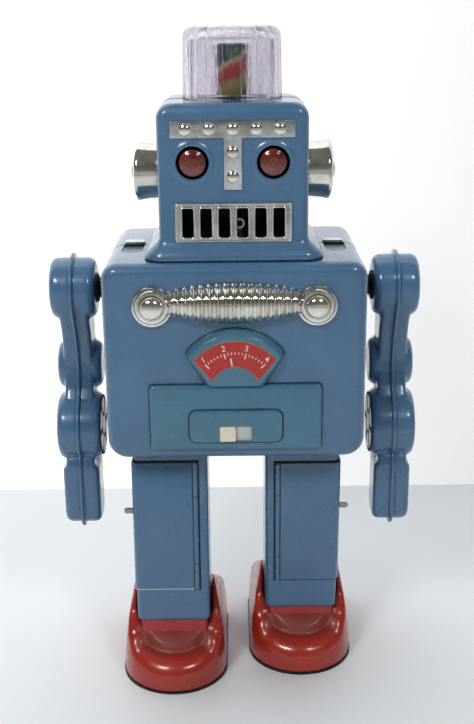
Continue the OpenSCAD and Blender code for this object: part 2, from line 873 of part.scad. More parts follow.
// One lobe with a rolled edge, from the seam outwards
module arm_lobe(lobe, wall) {
    r = lobe[2] - wall;
    top = arm_t / 2 - wall;
    roll = 3 - wall;
    translate([0, lobe[0], lobe[1]]) rotate([0, 90, 0]) rotate_extrude() polygon(concat(
        [[0, -sign(wall)], [r, -sign(wall)]],
        [for (a = [0 : 15 : 90]) [r - roll + roll * cos(a), top - roll + roll * sin(a)]],
        [[0, top]]
    ));
}

// One pressed half of an arm, with half of the seam bead; drawn on its outer side
module arm_half(x_dir) {
    translate([-arm_x, 0, 0]) mirror([x_dir > 0 ? 0 : 1, 0, 0]) difference() {
        union() {
            slab_x(0, waist_t) arm_outline(0);
            slab_x(0, hand_t) hand_outline(0);
            for (lobe = ARM_LOBES) arm_lobe(lobe, 0);
            slab_x(0, bead_t) arm_outline(bead_out);
        }
        slab_x(-1, waist_t - tin) arm_outline(-tin);
        slab_x(-1, hand_t - tin) hand_outline(-tin);
        for (lobe = ARM_LOBES) arm_lobe(lobe, tin);
        rod_x(-1, 20, 2.5 + eps, 0, shoulder_z);
    }
}

module arm_outer_right() { color(blue) on_arm(-1) arm_half(-1); }

module arm_outer_left() { color(blue) on_arm(1) arm_half(-1); }

module arm_inner_right() { color(blue) on_arm(-1) arm_half(1); }

module arm_inner_left() { color(blue) on_arm(1) arm_half(1); }

// Pin through the torso's side and the whole arm, with a collar in the gap
module shoulder_pin(side) {
    side_x = torso_w / 2;
    arm_in = arm_x - arm_t / 2;
    color(silver) on_arm(side) {
        rod_x(-arm_x - arm_t / 2 - 0.6, -side_x + 3, 2.5, 0, shoulder_z);
        rod_x(-arm_in, -side_x - 0.3, 7, 0, shoulder_z);
        rod_x(-side_x + tin + 0.3, -side_x + 3, 5, 0, shoulder_z);
    }
}

module shoulder_pin_right() { shoulder_pin(-1); }

module shoulder_pin_left() { shoulder_pin(1); }

// ---- what is drawn ----

torso_front_shell();
torso_back_shell();
torso_base_plate();
shoulder_tabs();
head_shell();
head_frame();
crystal_dome();
face_plate();
face_rivets();
mouth_grille();
vapour_tube();
eye_lens_right();
eye_lens_left();
lamp_bulbs();
ear_cup_right();
ear_cup_left();
chest_barrel();
chest_bosses();
gauge_housing();
gauge_dial();
chest_panel();
switch_knob();
switch_contacts();
motor();
motor_pinion();
reduction_gear();
crank_gear();
gearbox_plate_right();
gearbox_plate_left();
gearbox_spacers();
hip_axle();
vapour_chamber();
pump_cylinder();
pump_piston();
drum_shaft();
colour_drum();
leg_shell_right();
leg_shell_left();
leg_yoke_right();
leg_yoke_left();
battery_right();
battery_left();
battery_door_right();
battery_door_left();
hinge_pin_right();
hinge_pin_left();
foot_shell_right();
foot_shell_left();
foot_sole_right();
foot_sole_left();
ankle_pins_right();
ankle_pins_left();
arm_outer_right();
arm_outer_left();
arm_inner_right();
arm_inner_left();
shoulder_pin_right();
shoulder_pin_left();
foot_roller_right();
foot_roller_left();
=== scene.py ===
"""Looks of the tin robot: painted shells, plated trim, printed dial and a fluted clear dome."""

import json
import math

import bmesh
import bpy
from mathutils import Matrix, Vector


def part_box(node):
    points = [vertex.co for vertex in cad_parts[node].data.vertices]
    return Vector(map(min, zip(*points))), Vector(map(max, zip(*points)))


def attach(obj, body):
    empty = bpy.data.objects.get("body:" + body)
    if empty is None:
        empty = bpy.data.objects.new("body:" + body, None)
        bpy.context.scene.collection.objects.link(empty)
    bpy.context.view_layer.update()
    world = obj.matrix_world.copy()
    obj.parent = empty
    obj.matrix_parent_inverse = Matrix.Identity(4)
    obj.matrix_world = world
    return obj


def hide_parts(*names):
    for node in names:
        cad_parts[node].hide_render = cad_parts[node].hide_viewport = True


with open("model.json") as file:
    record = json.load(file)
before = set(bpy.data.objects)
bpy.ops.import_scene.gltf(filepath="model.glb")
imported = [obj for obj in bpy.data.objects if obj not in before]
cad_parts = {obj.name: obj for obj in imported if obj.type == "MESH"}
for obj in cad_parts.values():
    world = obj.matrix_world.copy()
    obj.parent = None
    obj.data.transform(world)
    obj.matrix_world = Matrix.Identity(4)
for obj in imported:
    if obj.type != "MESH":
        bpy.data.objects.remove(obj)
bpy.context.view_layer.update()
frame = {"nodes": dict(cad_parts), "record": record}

# Everything below is drawn in millimetres; MM turns it into metres when a mesh is made.
MM = 0.001
TIN = 0.6
STRIDE = 4


def corners(node):
    """Lowest and highest corner of a CAD node, in millimetres."""
    low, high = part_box(node)
    return low / MM, high / MM


def centre_of(node):
    """Middle of a CAD node's box, in millimetres."""
    return [(a + b) / 2 for a, b in zip(*corners(node))]


# ---- places, from the frame ----

torso_low, torso_high = corners("torso_front_shell")
torso_back = corners("torso_back_shell")[1].y
torso_front = torso_low.y
seam_y = torso_high.y
torso_half = torso_high.x
torso_top = torso_high.z
torso_bottom = torso_low.z

dome_low, dome_high = corners("crystal_dome")
dome_y = centre_of("crystal_dome")[1]
dome_r = dome_high.x
head_top = dome_low.z
head_half = corners("ear_cup_left")[0].x
head_front = corners("face_plate")[1].y
head_back = 2 * dome_y - head_front
skirt_low, skirt_high = corners("head_shell")

sides = {"right": -1, "left": 1}
hip_y, hip_z = centre_of("hip_axle")[1:]
leg_x = 31


# ---- mesh making ----

def build(name, points, faces):
    """Object from points in millimetres, with doubled points merged and normals outward."""
    mesh = bpy.data.meshes.new(name)
    mesh.from_pydata([Vector(p) * MM for p in points], [], faces)
    work = bmesh.new()
    work.from_mesh(mesh)
    bmesh.ops.remove_doubles(work, verts=work.verts, dist=0.004 * MM)
    bmesh.ops.recalc_face_normals(work, faces=work.faces)
    work.to_mesh(mesh)
    work.free()
    piece = bpy.data.objects.new(name, mesh)
    bpy.context.scene.collection.objects.link(piece)
    return piece


def modify(piece, kind, **settings):
    """Adds a modifier, applies it and leaves the result in the piece's mesh."""
    modifier = piece.modifiers.new(kind, kind)
    for key, value in settings.items():
        setattr(modifier, key, value)
    graph = bpy.context.evaluated_depsgraph_get()
    mesh = bpy.data.meshes.new_from_object(piece.evaluated_get(graph), depsgraph=graph)
    piece.modifiers.clear()
    old = piece.data
    piece.data = mesh
    bpy.data.meshes.remove(old)
    return piece


def cut(piece, cutter):
    """Takes the cutter's solid out of the piece."""
    modify(piece, "BOOLEAN", operation="DIFFERENCE", solver="EXACT", object=cutter)
    bpy.data.objects.remove(cutter)
    return piece


def bevel(piece, width, segments=2, angle=40):
    return modify(piece, "BEVEL", width=width * MM, segments=segments, limit_method="ANGLE",
                  angle_limit=math.radians(angle), use_clamp_overlap=True)


def shell(piece, thickness=TIN, inner_slot=1):
    """Gives an open skin its sheet thickness, inwards; the inner faces take the next material."""
    return modify(piece, "SOLIDIFY", thickness=thickness * MM, offset=-1, use_even_offset=True,
                  material_offset=inner_slot, material_offset_rim=0)


def dress(piece, body, slot, materials, stands_for=(), crease=38):
    """Smooth shading, materials, the body it rides on and the CAD nodes it stands for."""
    if not isinstance(materials, (list, tuple)):
        materials = [materials]
    keep = [p.material_index for p in piece.data.polygons]
    piece.data.materials.clear()
    for material in materials:
        piece.data.materials.append(material)
    for polygon, index in zip(piece.data.polygons, keep):
        polygon.material_index = min(index, len(materials) - 1)
    piece.data.shade_smooth()
    piece.data.set_sharp_from_angle(angle=math.radians(crease))
    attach(piece, body)
    if stands_for:
        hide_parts(*stands_for)
    return piece


def mount(name, part, *settings):
    """Builds a mesh part and dresses it."""
    return dress(build(name, *part), *settings)


def loft(rings, first=True, last=True, wrap=False):
    """Skin over rings of equal length, closed at its ends or wrapped round to the first ring."""
    n = len(rings[0])
    count = len(rings)
    points = [p for ring in rings for p in ring]
    faces = []
    for k in range(count if wrap else count - 1):
        a, b = k * n, ((k + 1) % count) * n
        faces += [(a + i, a + (i + 1) % n, b + (i + 1) % n, b + i) for i in range(n)]
    if first and not wrap:
        faces.append(tuple(range(n))[::-1])
    if last and not wrap:
        faces.append(tuple(range((count - 1) * n, count * n)))
    return points, faces


def joined(*parts):
    points, faces = [], []
    for part_points, part_faces in parts:
        faces += [tuple(i + len(points) for i in face) for face in part_faces]
        points += part_points
    return points, faces


def turned(part, matrix):
    points, faces = part
    return [matrix @ Vector(p) for p in points], faces


def arc(radius, start, end, steps, centre=(0, 0)):
    """Points of an arc, with angles in degrees."""
    angles = [math.radians(start + (end - start) * k / steps) for k in range(steps + 1)]
    return [(centre[0] + radius * math.cos(a), centre[1] + radius * math.sin(a)) for a in angles]


def quarter(steps, first=0):
    """Cosine and sine at equal steps through a quarter turn."""
    angles = [math.radians(90 * k / steps) for k in range(first, steps + 1)]
    return [(math.cos(a), math.sin(a)) for a in angles]


def round_box(x0, x1, z0, z1, low, high=None, steps=6):
    """Rounded rectangle, anticlockwise, with a radius for its lower and for its upper corners."""
    high = low if high is None else high
    return (arc(low, -90, 0, steps, (x1 - low, z0 + low))
            + arc(high, 0, 90, steps, (x1 - high, z1 - high))
            + arc(high, 90, 180, steps, (x0 + high, z1 - high))
            + arc(low, 180, 270, steps, (x0 + low, z0 + low)))


def inset(outline, distance):
    """An anticlockwise outline moved inwards along its normals."""
    moved = []
    for i, (x, z) in enumerate(outline):
        ax, az = outline[i - 1]
        bx, bz = outline[(i + 1) % len(outline)]
        tx, tz = bx - ax, bz - az
        size = math.hypot(tx, tz) or 1
        moved.append((x - distance * tz / size, z + distance * tx / size))
    return moved


def box_rings(box, radius, steps):
    """Rings of a rounded rectangle in X and Z; each step gives its inset and its Y."""
    x0, x1, z0, z1 = box
    return [ring_xz(round_box(x0 + d, x1 - d, z0 + d, z1 - d, max(radius - d, 0.15)), y)
            for d, y in steps]


def ring_xz(outline, y):
    return [(x, y, z) for x, z in outline]


def ring_xy(outline, z):
    return [(x, y, z) for x, y in outline]


def slab(outline, back, front):
    """Outline in X and Z drawn out from its back plane to its front plane."""
    return loft([ring_xz(outline, back), ring_xz(outline, front)])


def lathe(profile, segments=64):
    """Profile of (radius, height) points turned round Z; radius 0 closes it."""
    rings = [[(r * math.cos(2 * math.pi * i / segments), r * math.sin(2 * math.pi * i / segments), h)
              for i in range(segments)] for r, h in profile]
    return loft(rings)


def tube(path, radius, sides_count=8, closed=True):
    """Round rod along a flat or curved path of 3D points."""
    count = len(path)
    rings = []
    for i, point in enumerate(path):
        before = Vector(path[i - 1] if closed or i else path[i])
        after = Vector(path[(i + 1) % count] if closed or i + 1 < count else path[i])
        along = (after - before).normalized()
        side = along.cross(Vector((0, 1, 0)))
        if side.length < 0.1:
            side = along.cross(Vector((1, 0, 0)))
        side.normalize()
        up = side.cross(along)
        rings.append([Vector(point) + radius * (math.cos(a) * side + math.sin(a) * up)
                      for a in [2 * math.pi * k / sides_count for k in range(sides_count)]])
    return loft(rings, wrap=closed)


def move(x, y, z):
    return Matrix.Translation((x, y, z))


FACE_FRONT = Matrix.Rotation(math.radians(90), 4, "X")      # +Z of a lathe points to -Y
FACE_SIDE = {-1: Matrix.Rotation(math.radians(-90), 4, "Y"), 1: Matrix.Rotation(math.radians(90), 4, "Y")}


# ---- materials ----

def srgb(red, green, blue):
    """Linear colour from 0-255 values."""
    linear = [((c / 255 + 0.055) / 1.055) ** 2.4 if c > 10 else c / 255 / 12.92
              for c in (red, green, blue)]
    return (*linear, 1)


class Finish:
    """A node material that is put together layer by layer."""

    def __init__(self, name, **settings):
        self.material = bpy.data.materials.new(name)
        self.material.use_nodes = True
        self.tree = self.material.node_tree
        self.shader = self.tree.nodes["Principled BSDF"]
        self.place = self.add("ShaderNodeTexCoord").outputs["Object"]
        for key, value in settings.items():
            self.shader.inputs[key].default_value = value

    def add(self, kind, **settings):
        node = self.tree.nodes.new(kind)
        for key, value in settings.items():
            setattr(node, key, value)
        return node

    def link(self, output, target):
        self.tree.links.new(output, target)

    def noise(self, scale, detail=3, stretch=(1, 1, 1), rough=0.55):
        """Noise with its feature size given in cells per metre."""
        mapping = self.add("ShaderNodeMapping")
        mapping.inputs["Scale"].default_value = stretch
        self.link(self.place, mapping.inputs["Vector"])
        node = self.add("ShaderNodeTexNoise")
        node.inputs["Scale"].default_value = scale
        node.inputs["Detail"].default_value = detail
        node.inputs["Roughness"].default_value = rough
        self.link(mapping.outputs["Vector"], node.inputs["Vector"])
        return node.outputs["Fac"]

    def ramp(self, value, stops):
        node = self.add("ShaderNodeValToRGB")
        ramp = node.color_ramp
        while len(ramp.elements) < len(stops):
            ramp.elements.new(0.5)
        for element, (position, colour) in zip(ramp.elements, stops):
            element.position = position
            element.color = colour if len(colour) == 4 else (*colour, 1)
        self.link(value, node.inputs["Fac"])
        return node.outputs["Color"]

    def step(self, value, low, high):
        """0 below low, 1 above high."""
        node = self.add("ShaderNodeMapRange")
        node.inputs["From Min"].default_value = low
        node.inputs["From Max"].default_value = high
        self.link(value, node.inputs["Value"])
        return node.outputs["Result"]

    def math(self, operation, first, second):
        node = self.add("ShaderNodeMath", operation=operation)
        for socket, value in zip(node.inputs, (first, second)):
            if isinstance(value, (int, float)):
                socket.default_value = value
            else:
                self.link(value, socket)
        return node.outputs[0]

    def mix(self, factor, first, second):
        node = self.add("ShaderNodeMix", data_type="RGBA")
        self.link(factor, node.inputs["Factor"])
        for socket, value in ((node.inputs[6], first), (node.inputs[7], second)):
            if isinstance(value, tuple):
                socket.default_value = value
            else:
                self.link(value, socket)
        return node.outputs[2]

    def bump(self, height, strength, distance):
        node = self.add("ShaderNodeBump")
        node.inputs["Strength"].default_value = strength
        node.inputs["Distance"].default_value = distance
        self.link(height, node.inputs["Height"])
        self.link(node.outputs["Normal"], self.shader.inputs["Normal"])

    def colour(self, output):
        self.link(output, self.shader.inputs["Base Color"])

    def rough(self, output):
        self.link(output, self.shader.inputs["Roughness"])


def painted(name, base, shade, chips=0.72, roughness=(0.2, 0.34), dull_patch=None):
    """Stoved gloss paint on tin: mottled, finely scratched, with small chips and orange peel."""
    f = Finish(name, **{"Coat Weight": 0.45, "Coat Roughness": 0.09, "Specular IOR Level": 0.5})
    cloud = f.ramp(f.noise(38, 4), [(0.3, shade), (0.7, base)])
    dirt = f.step(f.noise(520, 5, rough=0.65), 0.6, 0.9)
    dull = tuple(c * 0.62 for c in base[:3]) + (1,)
    cloud = f.mix(f.math("MULTIPLY", dirt, 0.16), cloud, dull)
    chip = f.step(f.noise(420, 2), chips, chips + 0.03)
    patch = f.step(f.noise(26, 2), 0.5, 0.62)
    cloud = f.mix(f.math("MULTIPLY", chip, patch), cloud, srgb(48, 50, 56))
    scratch = f.step(f.noise(150, 2, (0.12, 0.12, 3.5)), 0.7, 0.74)
    cloud = f.mix(f.math("MULTIPLY", scratch, 0.06), cloud, srgb(170, 180, 190))
    polish = f.ramp(f.noise(70, 4), [(0.3, (roughness[0],) * 3), (0.75, (roughness[1],) * 3)])
    # Where the vertex attribute is set, the paint turns darker and rougher and loses most of its coat.
    if dull_patch:
        mask = f.add("ShaderNodeAttribute", attribute_name="dull_patch").outputs["Fac"]
        cloud = f.mix(mask, cloud, dull_patch)
        polish = f.mix(mask, polish, (0.55, 0.55, 0.55, 1))
        f.link(f.math("SUBTRACT", 0.45, f.math("MULTIPLY", mask, 0.4)), f.shader.inputs["Coat Weight"])
    f.colour(cloud)
    f.rough(polish)
    f.bump(f.noise(260, 2), 0.12, 0.0004)
    return f.material


def plated(name, base, tarnish, roughness=(0.1, 0.3), spots=0.62, metallic=1.0):
    """Bright plated metal: cloudy tarnish, fine pits and a wavy surface."""
    f = Finish(name, Metallic=metallic)
    cloud = f.ramp(f.noise(90, 5, rough=0.65), [(0.36, tarnish), (0.62, base)])
    pits = f.step(f.noise(700, 3), spots, spots + 0.06)
    cloud = f.mix(f.math("MULTIPLY", pits, 0.5), cloud, tuple(c * 0.3 for c in tarnish[:3]) + (1,))
    f.colour(cloud)
    f.rough(f.ramp(f.noise(150, 4), [(0.3, (roughness[0],) * 3), (0.75, (roughness[1],) * 3)]))
    f.bump(f.noise(210, 2), 0.1, 0.0005)
    return f.material


def brushed(name, base, stretch=(8, 1, 1)):
    """Bare machined or rolled metal with grain along one way."""
    f = Finish(name, Metallic=1.0)
    grain = f.noise(520, 3, stretch)
    dark = tuple(c * 0.62 for c in base[:3]) + (1,)
    f.colour(f.ramp(grain, [(0.3, dark), (0.7, base)]))
    f.rough(f.ramp(grain, [(0.3, (0.42,) * 3), (0.7, (0.24,) * 3)]))
    f.bump(grain, 0.12, 0.0002)
    return f.material


def moulded(name, base, roughness=0.4, speckle=0.1, **settings):
    """Plastic, rubber or board with a faint grain and slight colour variation."""
    f = Finish(name, **settings)
    dark = tuple(c * (1 - 2.5 * speckle) for c in base[:3]) + (1,)
    f.colour(f.ramp(f.noise(240, 5), [(0.3, dark), (0.68, base)]))
    f.rough(f.ramp(f.noise(300, 3), [(0.3, (roughness - 0.08,) * 3), (0.7, (roughness + 0.1,) * 3)]))
    f.bump(f.noise(900, 2), 0.12, 0.0002)
    return f.material


def clear_plastic(name, tint):
    """Tinted clear dome: a trace of haze and mould waviness."""
    f = Finish(name, **{"Transmission Weight": 1.0, "IOR": 1.3, "Specular IOR Level": 0.6})
    f.colour(f.ramp(f.noise(60, 2), [(0.3, tint), (0.8, tuple(c * 0.93 for c in tint[:3]) + (1,))]))
    f.rough(f.ramp(f.noise(120, 3), [(0.3, (0.02,) * 3), (0.8, (0.07,) * 3)]))
    f.bump(f.noise(900, 3, (1, 1, 0.05)), 0.5, 0.0006)
    return f.material


def lens_glass(name):
    """Deep red lamp cover, moulded with faint rings."""
    f = Finish(name, **{"Transmission Weight": 0.35, "IOR": 1.5, "Coat Weight": 1.0, "Coat Roughness": 0.03})
    f.colour(f.ramp(f.noise(170, 3), [(0.3, srgb(96, 24, 18)), (0.75, srgb(150, 56, 42))]))
    f.rough(f.ramp(f.noise(300, 2), [(0.3, (0.1,) * 3), (0.7, (0.2,) * 3)]))
    f.bump(f.noise(160, 2), 0.2, 0.0005)
    return f.material


def drum_print(name):
    """Bands of green, red and olive that climb round the drum."""
    f = Finish(name, **{"Coat Weight": 0.4, "Coat Roughness": 0.15})
    split = f.add("ShaderNodeSeparateXYZ")
    f.link(f.place, split.inputs["Vector"])
    depth = f.math("SUBTRACT", split.outputs["Y"], dome_y * MM)
    angle = f.math("ARCTAN2", split.outputs["X"], f.math("MULTIPLY", depth, -1))
    height = f.math("MULTIPLY", f.math("SUBTRACT", split.outputs["Z"], head_top * MM), 1 / 0.024)
    turn = f.math("ADD", height, f.math("MULTIPLY", angle, -0.16))
    waver = f.math("MULTIPLY", f.noise(260, 3), 0.12)
    bands = f.ramp(f.math("ADD", turn, waver), [
        (0.0, srgb(62, 84, 60)), (0.16, srgb(170, 160, 44)), (0.34, srgb(186, 178, 120)),
        (0.47, srgb(196, 62, 48)), (0.66, srgb(205, 70, 60)), (0.74, srgb(212, 202, 170)),
        (0.82, srgb(38, 100, 74)), (1.0, srgb(30, 84, 62))])
    f.colour(bands)
    f.rough(f.ramp(f.noise(200, 3), [(0.3, (0.3,) * 3), (0.7, (0.45,) * 3)]))
    return f.material


BLUE = painted("blue_paint", srgb(73, 111, 147), srgb(66, 104, 139))
TEAL = painted("teal_paint", srgb(66, 114, 142), srgb(60, 106, 132))
RED = painted("red_paint", srgb(172, 44, 30), srgb(156, 36, 24), dull_patch=srgb(122, 38, 28))
# The shoes' red paint again, more saturated and with fewer chips: painted light for the lit ankle walls.
LIT_RED = painted("red_paint_lit_copy", srgb(172, 26, 26), srgb(156, 22, 22), chips=0.8)
DIAL_RED = painted("dial_red", srgb(178, 20, 16), srgb(168, 16, 12), chips=0.9)
GOLD = moulded("gold_edge", srgb(190, 170, 110), roughness=0.4)
WHITE_INK = moulded("white_ink", srgb(238, 232, 222), roughness=0.45)
BRIGHT = plated("bright_plate", srgb(204, 208, 210), srgb(160, 164, 164), (0.16, 0.3))
CHROME = plated("chrome_plate", srgb(232, 230, 224), srgb(206, 204, 194), (0.07, 0.2), 0.7)
STEEL = brushed("bare_steel", srgb(168, 168, 170))
BARE_TIN = brushed("bare_tin", srgb(96, 94, 88), (1, 6, 1))
BRASS = brushed("brass", srgb(206, 168, 92))
DOME = clear_plastic("clear_dome", srgb(226, 222, 230))
BULB = moulded("bulb_glass", srgb(236, 234, 226), roughness=0.15, speckle=0.02)
LENS = lens_glass("red_lens")
PRINT_GREY = moulded("print_grey", srgb(150, 158, 162), roughness=0.3)
CREAM = moulded("cream_plastic", srgb(232, 226, 204), roughness=0.32, speckle=0.03)
PALE = moulded("pale_plastic", srgb(196, 200, 198), roughness=0.4, speckle=0.04)
BOARD = moulded("fibre_board", srgb(120, 74, 42), roughness=0.7, speckle=0.2)
DRUM = drum_print("drum_print")
CELL = moulded("cell_jacket", srgb(128, 34, 26), roughness=0.35, speckle=0.06)
BLACK_STEEL = plated("black_steel", srgb(34, 34, 36), srgb(24, 22, 22), (0.35, 0.55), 0.7, 0.6)
# Darker blue as painted shade: the sheets under the shoulder slots, standing in for the torso's shadowed
# inside.
SHADOWED_BLUE = painted("blue_shadowed", srgb(64, 88, 112), srgb(54, 76, 98), roughness=(0.4, 0.6))
# Black for dark joints and printing, and as painted shade in gaps and under raised edges.
BLACK_JOINT_PRINT_AND_SHADE = moulded("black_joint_print_and_shade", srgb(16, 16, 18), roughness=0.8, speckle=0.2)
RUBBER = moulded("black_rubber", srgb(30, 30, 30), roughness=0.75, speckle=0.2)

SLOT_FINISH = {
    "blue_paint": BLUE, "teal_paint": TEAL, "red_paint": RED, "bright_plate": BRIGHT,
    "bare_steel": STEEL, "brass": BRASS, "clear_dome": DOME, "bulb_glass": BULB,
    "red_lens": LENS, "cream_plastic": CREAM, "fibre_board": BOARD, "drum_print": DRUM,
    "cell_jacket": CELL, "black_steel": BLACK_STEEL, "black_rubber": RUBBER,
}


def finish_cad_nodes():
    """Gives every CAD node that stays in sight its slot's material."""
    for part in frame["record"]["subparts"]:
        node = frame["nodes"][part["node"]]
        node.data.materials.clear()
        node.data.materials.append(SLOT_FINISH[part["material_slot"]])


# ---- torso ----

def torso_outline():
    return round_box(-torso_half, torso_half, torso_bottom, torso_top, 9, 7, 10)


def torso_shell(name, front, stands_for):
    """Half of the torso: a pressed pan with a rolled front edge and a turned-in seam."""
    outline = torso_outline()
    roll = 4.6
    way = -1 if front < seam_y else 1
    rings = [ring_xz(inset(outline, 0.5), seam_y), ring_xz(outline, seam_y + way * 0.6),
             ring_xz(outline, front - way * roll)]
    for cos, sin in quarter(8, 1):
        rings.append(ring_xz(inset(outline, roll * (1 - cos)), front - way * roll * (1 - sin)))
    rings.append(ring_xz(inset(outline, roll + 0.8), front))
    piece = build(name, *loft(rings, first=False))
    shell(piece)
    leg_gap = round_box(-51, 51, torso_bottom - 2, torso_bottom + 1.5, 1, 1, 2)
    cut(piece, build("leg_gap", *slab(leg_gap, torso_back - 9, torso_front + 9)))
    if way < 0:
        for side in (-1, 1):
            cut(piece, shoulder_slot(side))
    return dress(piece, "torso", "blue_paint", [BLUE, BARE_TIN], stands_for)


def shoulder_slot(side):
    half, length = 4.8, 13
    middle = side * 45.6
    plan = ([(middle + half, seam_y + 1), (middle - half, seam_y + 1)]
            + arc(half, 180, 360, 12, (middle, seam_y - length)))
    return build("slot_cutter", *loft([ring_xy(plan, torso_top - 3), ring_xy(plan, torso_top + 2)]))


def torso():
    torso_shell("torso_front", torso_front, ["torso_front_shell"])
    torso_shell("torso_back", torso_back, ["torso_back_shell"])
    lines = []
    for d in (0.04, 1.2):
        line = inset(torso_outline(), d)
        lines.append(line[11:33])
    rings = [[(x, seam_y - 0.55, z), (x, seam_y + 0.55, z), (u, seam_y + 0.55, w), (u, seam_y - 0.55, w)]
             for (x, z), (u, w) in zip(*lines)]
    mount("torso_seam", loft(rings), "torso", "black_steel", BLACK_JOINT_PRINT_AND_SHADE)
    floor_plate()
    # Under each shoulder slot a sheet of darker blue: painted shade for the shadowed inside seen through the
    # slot.
    for side in (-1, 1):
        floor = round_box(side * 45.6 - 5.4, side * 45.6 + 5.4, seam_y - 18.4, seam_y - 0.6, 4, 1, 6)
        mount("slot_shade_sheet", loft([ring_xy(floor, torso_top - 1.5), ring_xy(floor, torso_top - 0.75)]),
              "torso", "blue_paint", SHADOWED_BLUE)
    shoulder_tabs()


def floor_plate():
    """Floor of the torso, kept behind the rolled edges, with leg openings and ears for the axle."""
    low = torso_bottom + 2.2
    plan = round_box(-52, 52, torso_front + 5.5, torso_back - 5.5, 3, 3, 4)
    plate = build("floor_plate", *loft([ring_xy(plan, low), ring_xy(plan, low + 1)]))
    for side in (-1, 1):
        hole = round_box(side * leg_x - 18.6, side * leg_x + 18.6, hip_y - 23, hip_y + 23, 1, 1, 3)
        cut(plate, build("leg_opening", *loft([ring_xy(hole, low - 2), ring_xy(hole, low + 3)])))
    ears = []
    for side in (-1, 1):
        line = round_box(hip_y - 8, hip_y + 8, low + 0.5, hip_z + 8, 0.4, 7.9, 8)
        ears.append(loft([[(side * 51.4 + x, y, z) for y, z in line] for x in (-0.6, 0.6)]))
    ear = build("axle_ears", *joined(*ears))
    bore = lathe([(2.1, -70), (2.1, 70)], 24)
    cut(ear, build("axle_bore", *turned(bore, move(0, hip_y, hip_z) @ FACE_SIDE[1])))
    dress(plate, "torso", "bare_steel", BARE_TIN, ["torso_base_plate"])
    dress(ear, "torso", "bare_steel", BARE_TIN)


def shoulder_tabs():
    """Bright joining tabs, with a rolled front edge, behind the slots."""
    low, high = corners("shoulder_tabs")
    inner = 40.8
    parts = []
    for side in (-1, 1):
        x0, x1 = sorted((side * inner, side * high.x))
        plan = round_box(x0, x1, low.y, high.y, 1.6, 1.6, 4)
        parts.append(loft([ring_xy(plan, low.z - 0.2), ring_xy(plan, high.z - 0.4),
                           ring_xy(inset(plan, 0.35), high.z)]))
        parts.append(tube([(x0 + 0.6, low.y + 0.7, high.z - 0.5), (x1 - 0.6, low.y + 0.7, high.z - 0.5)],
                          0.5, 10, closed=False))
    mount("shoulder_tab_pair", joined(*parts), "torso", "bright_plate", BRIGHT,
          ["shoulder_tabs"])


# ---- head ----

def head_plan(half_x, half_y, radius):
    return round_box(-half_x, half_x, dome_y - half_y, dome_y + half_y, radius, radius, 7)


def head():
    half_y = (head_back - head_front) / 2
    flare_x = skirt_high.x - head_half
    flare_y = skirt_high.y - head_back
    flare_h = 10.5
    rings = []
    rim = ((0.9, 0.35), (0.3, 0.6), (0.1, 1.3), (0.2, 2.2), (0.5, 3.0))
    for back, height in rim:
        rings.append(ring_xy(head_plan(skirt_high.x - back, half_y + flare_y - back, 8 - back),
                             torso_top + height))
    for k in range(1, 9):
        t = k / 8
        ease = (1 - t) ** 2.4
        rings.append(ring_xy(head_plan(head_half + (flare_x - 0.5) * ease,
                                       half_y + (flare_y - 0.5) * ease, 3.6 + 3.9 * ease),
                             torso_top + 3.0 + (flare_h - 3.0) * t ** 0.75))
    top_x, top_y = 6.4, 3.4
    rings.append(ring_xy(head_plan(head_half, half_y, 3.6), head_top - top_x))
    for cos, sin in quarter(9, 1):
        rings.append(ring_xy(head_plan(head_half - top_x * (1 - cos), half_y - top_y * (1 - cos), 3.6),
                             head_top - top_x * (1 - sin)))
    rings.append(ring_xy(head_plan(head_half - top_x - 1, half_y - top_y - 1, 3.2), head_top))
    piece = build("head", *loft(rings, first=False))
    shell(piece)
    eye_x, _, eye_z = centre_of("eye_lens_left")
    for side in (1, -1):
        hole = turned(lathe([(6.9, -3), (6.9, 3)], 48), move(side * eye_x, head_front, eye_z) @ FACE_FRONT)
        cut(piece, build("eye_hole", *hole))
    low, high = corners("mouth_grille")
    mouth = round_box(low.x + 1.6, high.x - 1.6, low.z + 1.2, high.z - 1.6, 0.5, 0.5, 2)
    cut(piece, build("mouth_hole", *slab(mouth, head_front + 3, head_front - 3)))
    cut(piece, build("lamp_hole", *turned(lathe([(8.6, -3), (8.6, 3)], 48), move(0, dome_y, head_top))))
    dress(piece, "torso", "blue_paint", [BLUE, BARE_TIN], ["head_shell"])
    head_seam_and_skirt_shade()
    for word, side in sides.items():
        eye(side * eye_x, eye_z, word)


def head_seam_and_skirt_shade():
    """Dark joint between the head's front and its back cover, and a black ring under the skirt's edge as
    painted shadow.
    """
    y = dome_y + 1
    roll = 6.4
    out = 0.1
    outline = [(head_half + out, torso_top + 11)]
    outline += arc(roll + out, 0, 90, 10, (head_half - roll, head_top - roll))
    outline += arc(roll + out, 90, 180, 10, (-head_half + roll, head_top - roll))
    outline += [(-head_half - out, torso_top + 11)]
    rings = []
    for x, z in outline:
        inward = Vector((-x, 0, head_top - 30 - z)).normalized() * 0.9
        rings.append([Vector((x, y - 0.45, z)), Vector((x, y + 0.45, z)),
                      Vector((x, y + 0.45, z)) + inward, Vector((x, y - 0.45, z)) + inward])
    mount("head_joint", loft(rings), "torso", "black_steel", BLACK_JOINT_PRINT_AND_SHADE)
    # Black ring under the skirt's edge: painted shadow where the head sits on the torso.
    half_y = skirt_high.y - dome_y
    rings = [ring_xy(head_plan(skirt_high.x + d, half_y + d, 8 + d), torso_top + z) for d, z in
             ((-0.6, 0.02), (0.0, 0.02), (0.0, 0.42), (-0.6, 0.5))]
    mount("skirt_shade_ring", loft(rings, wrap=True), "torso", "black_steel", BLACK_JOINT_PRINT_AND_SHADE)


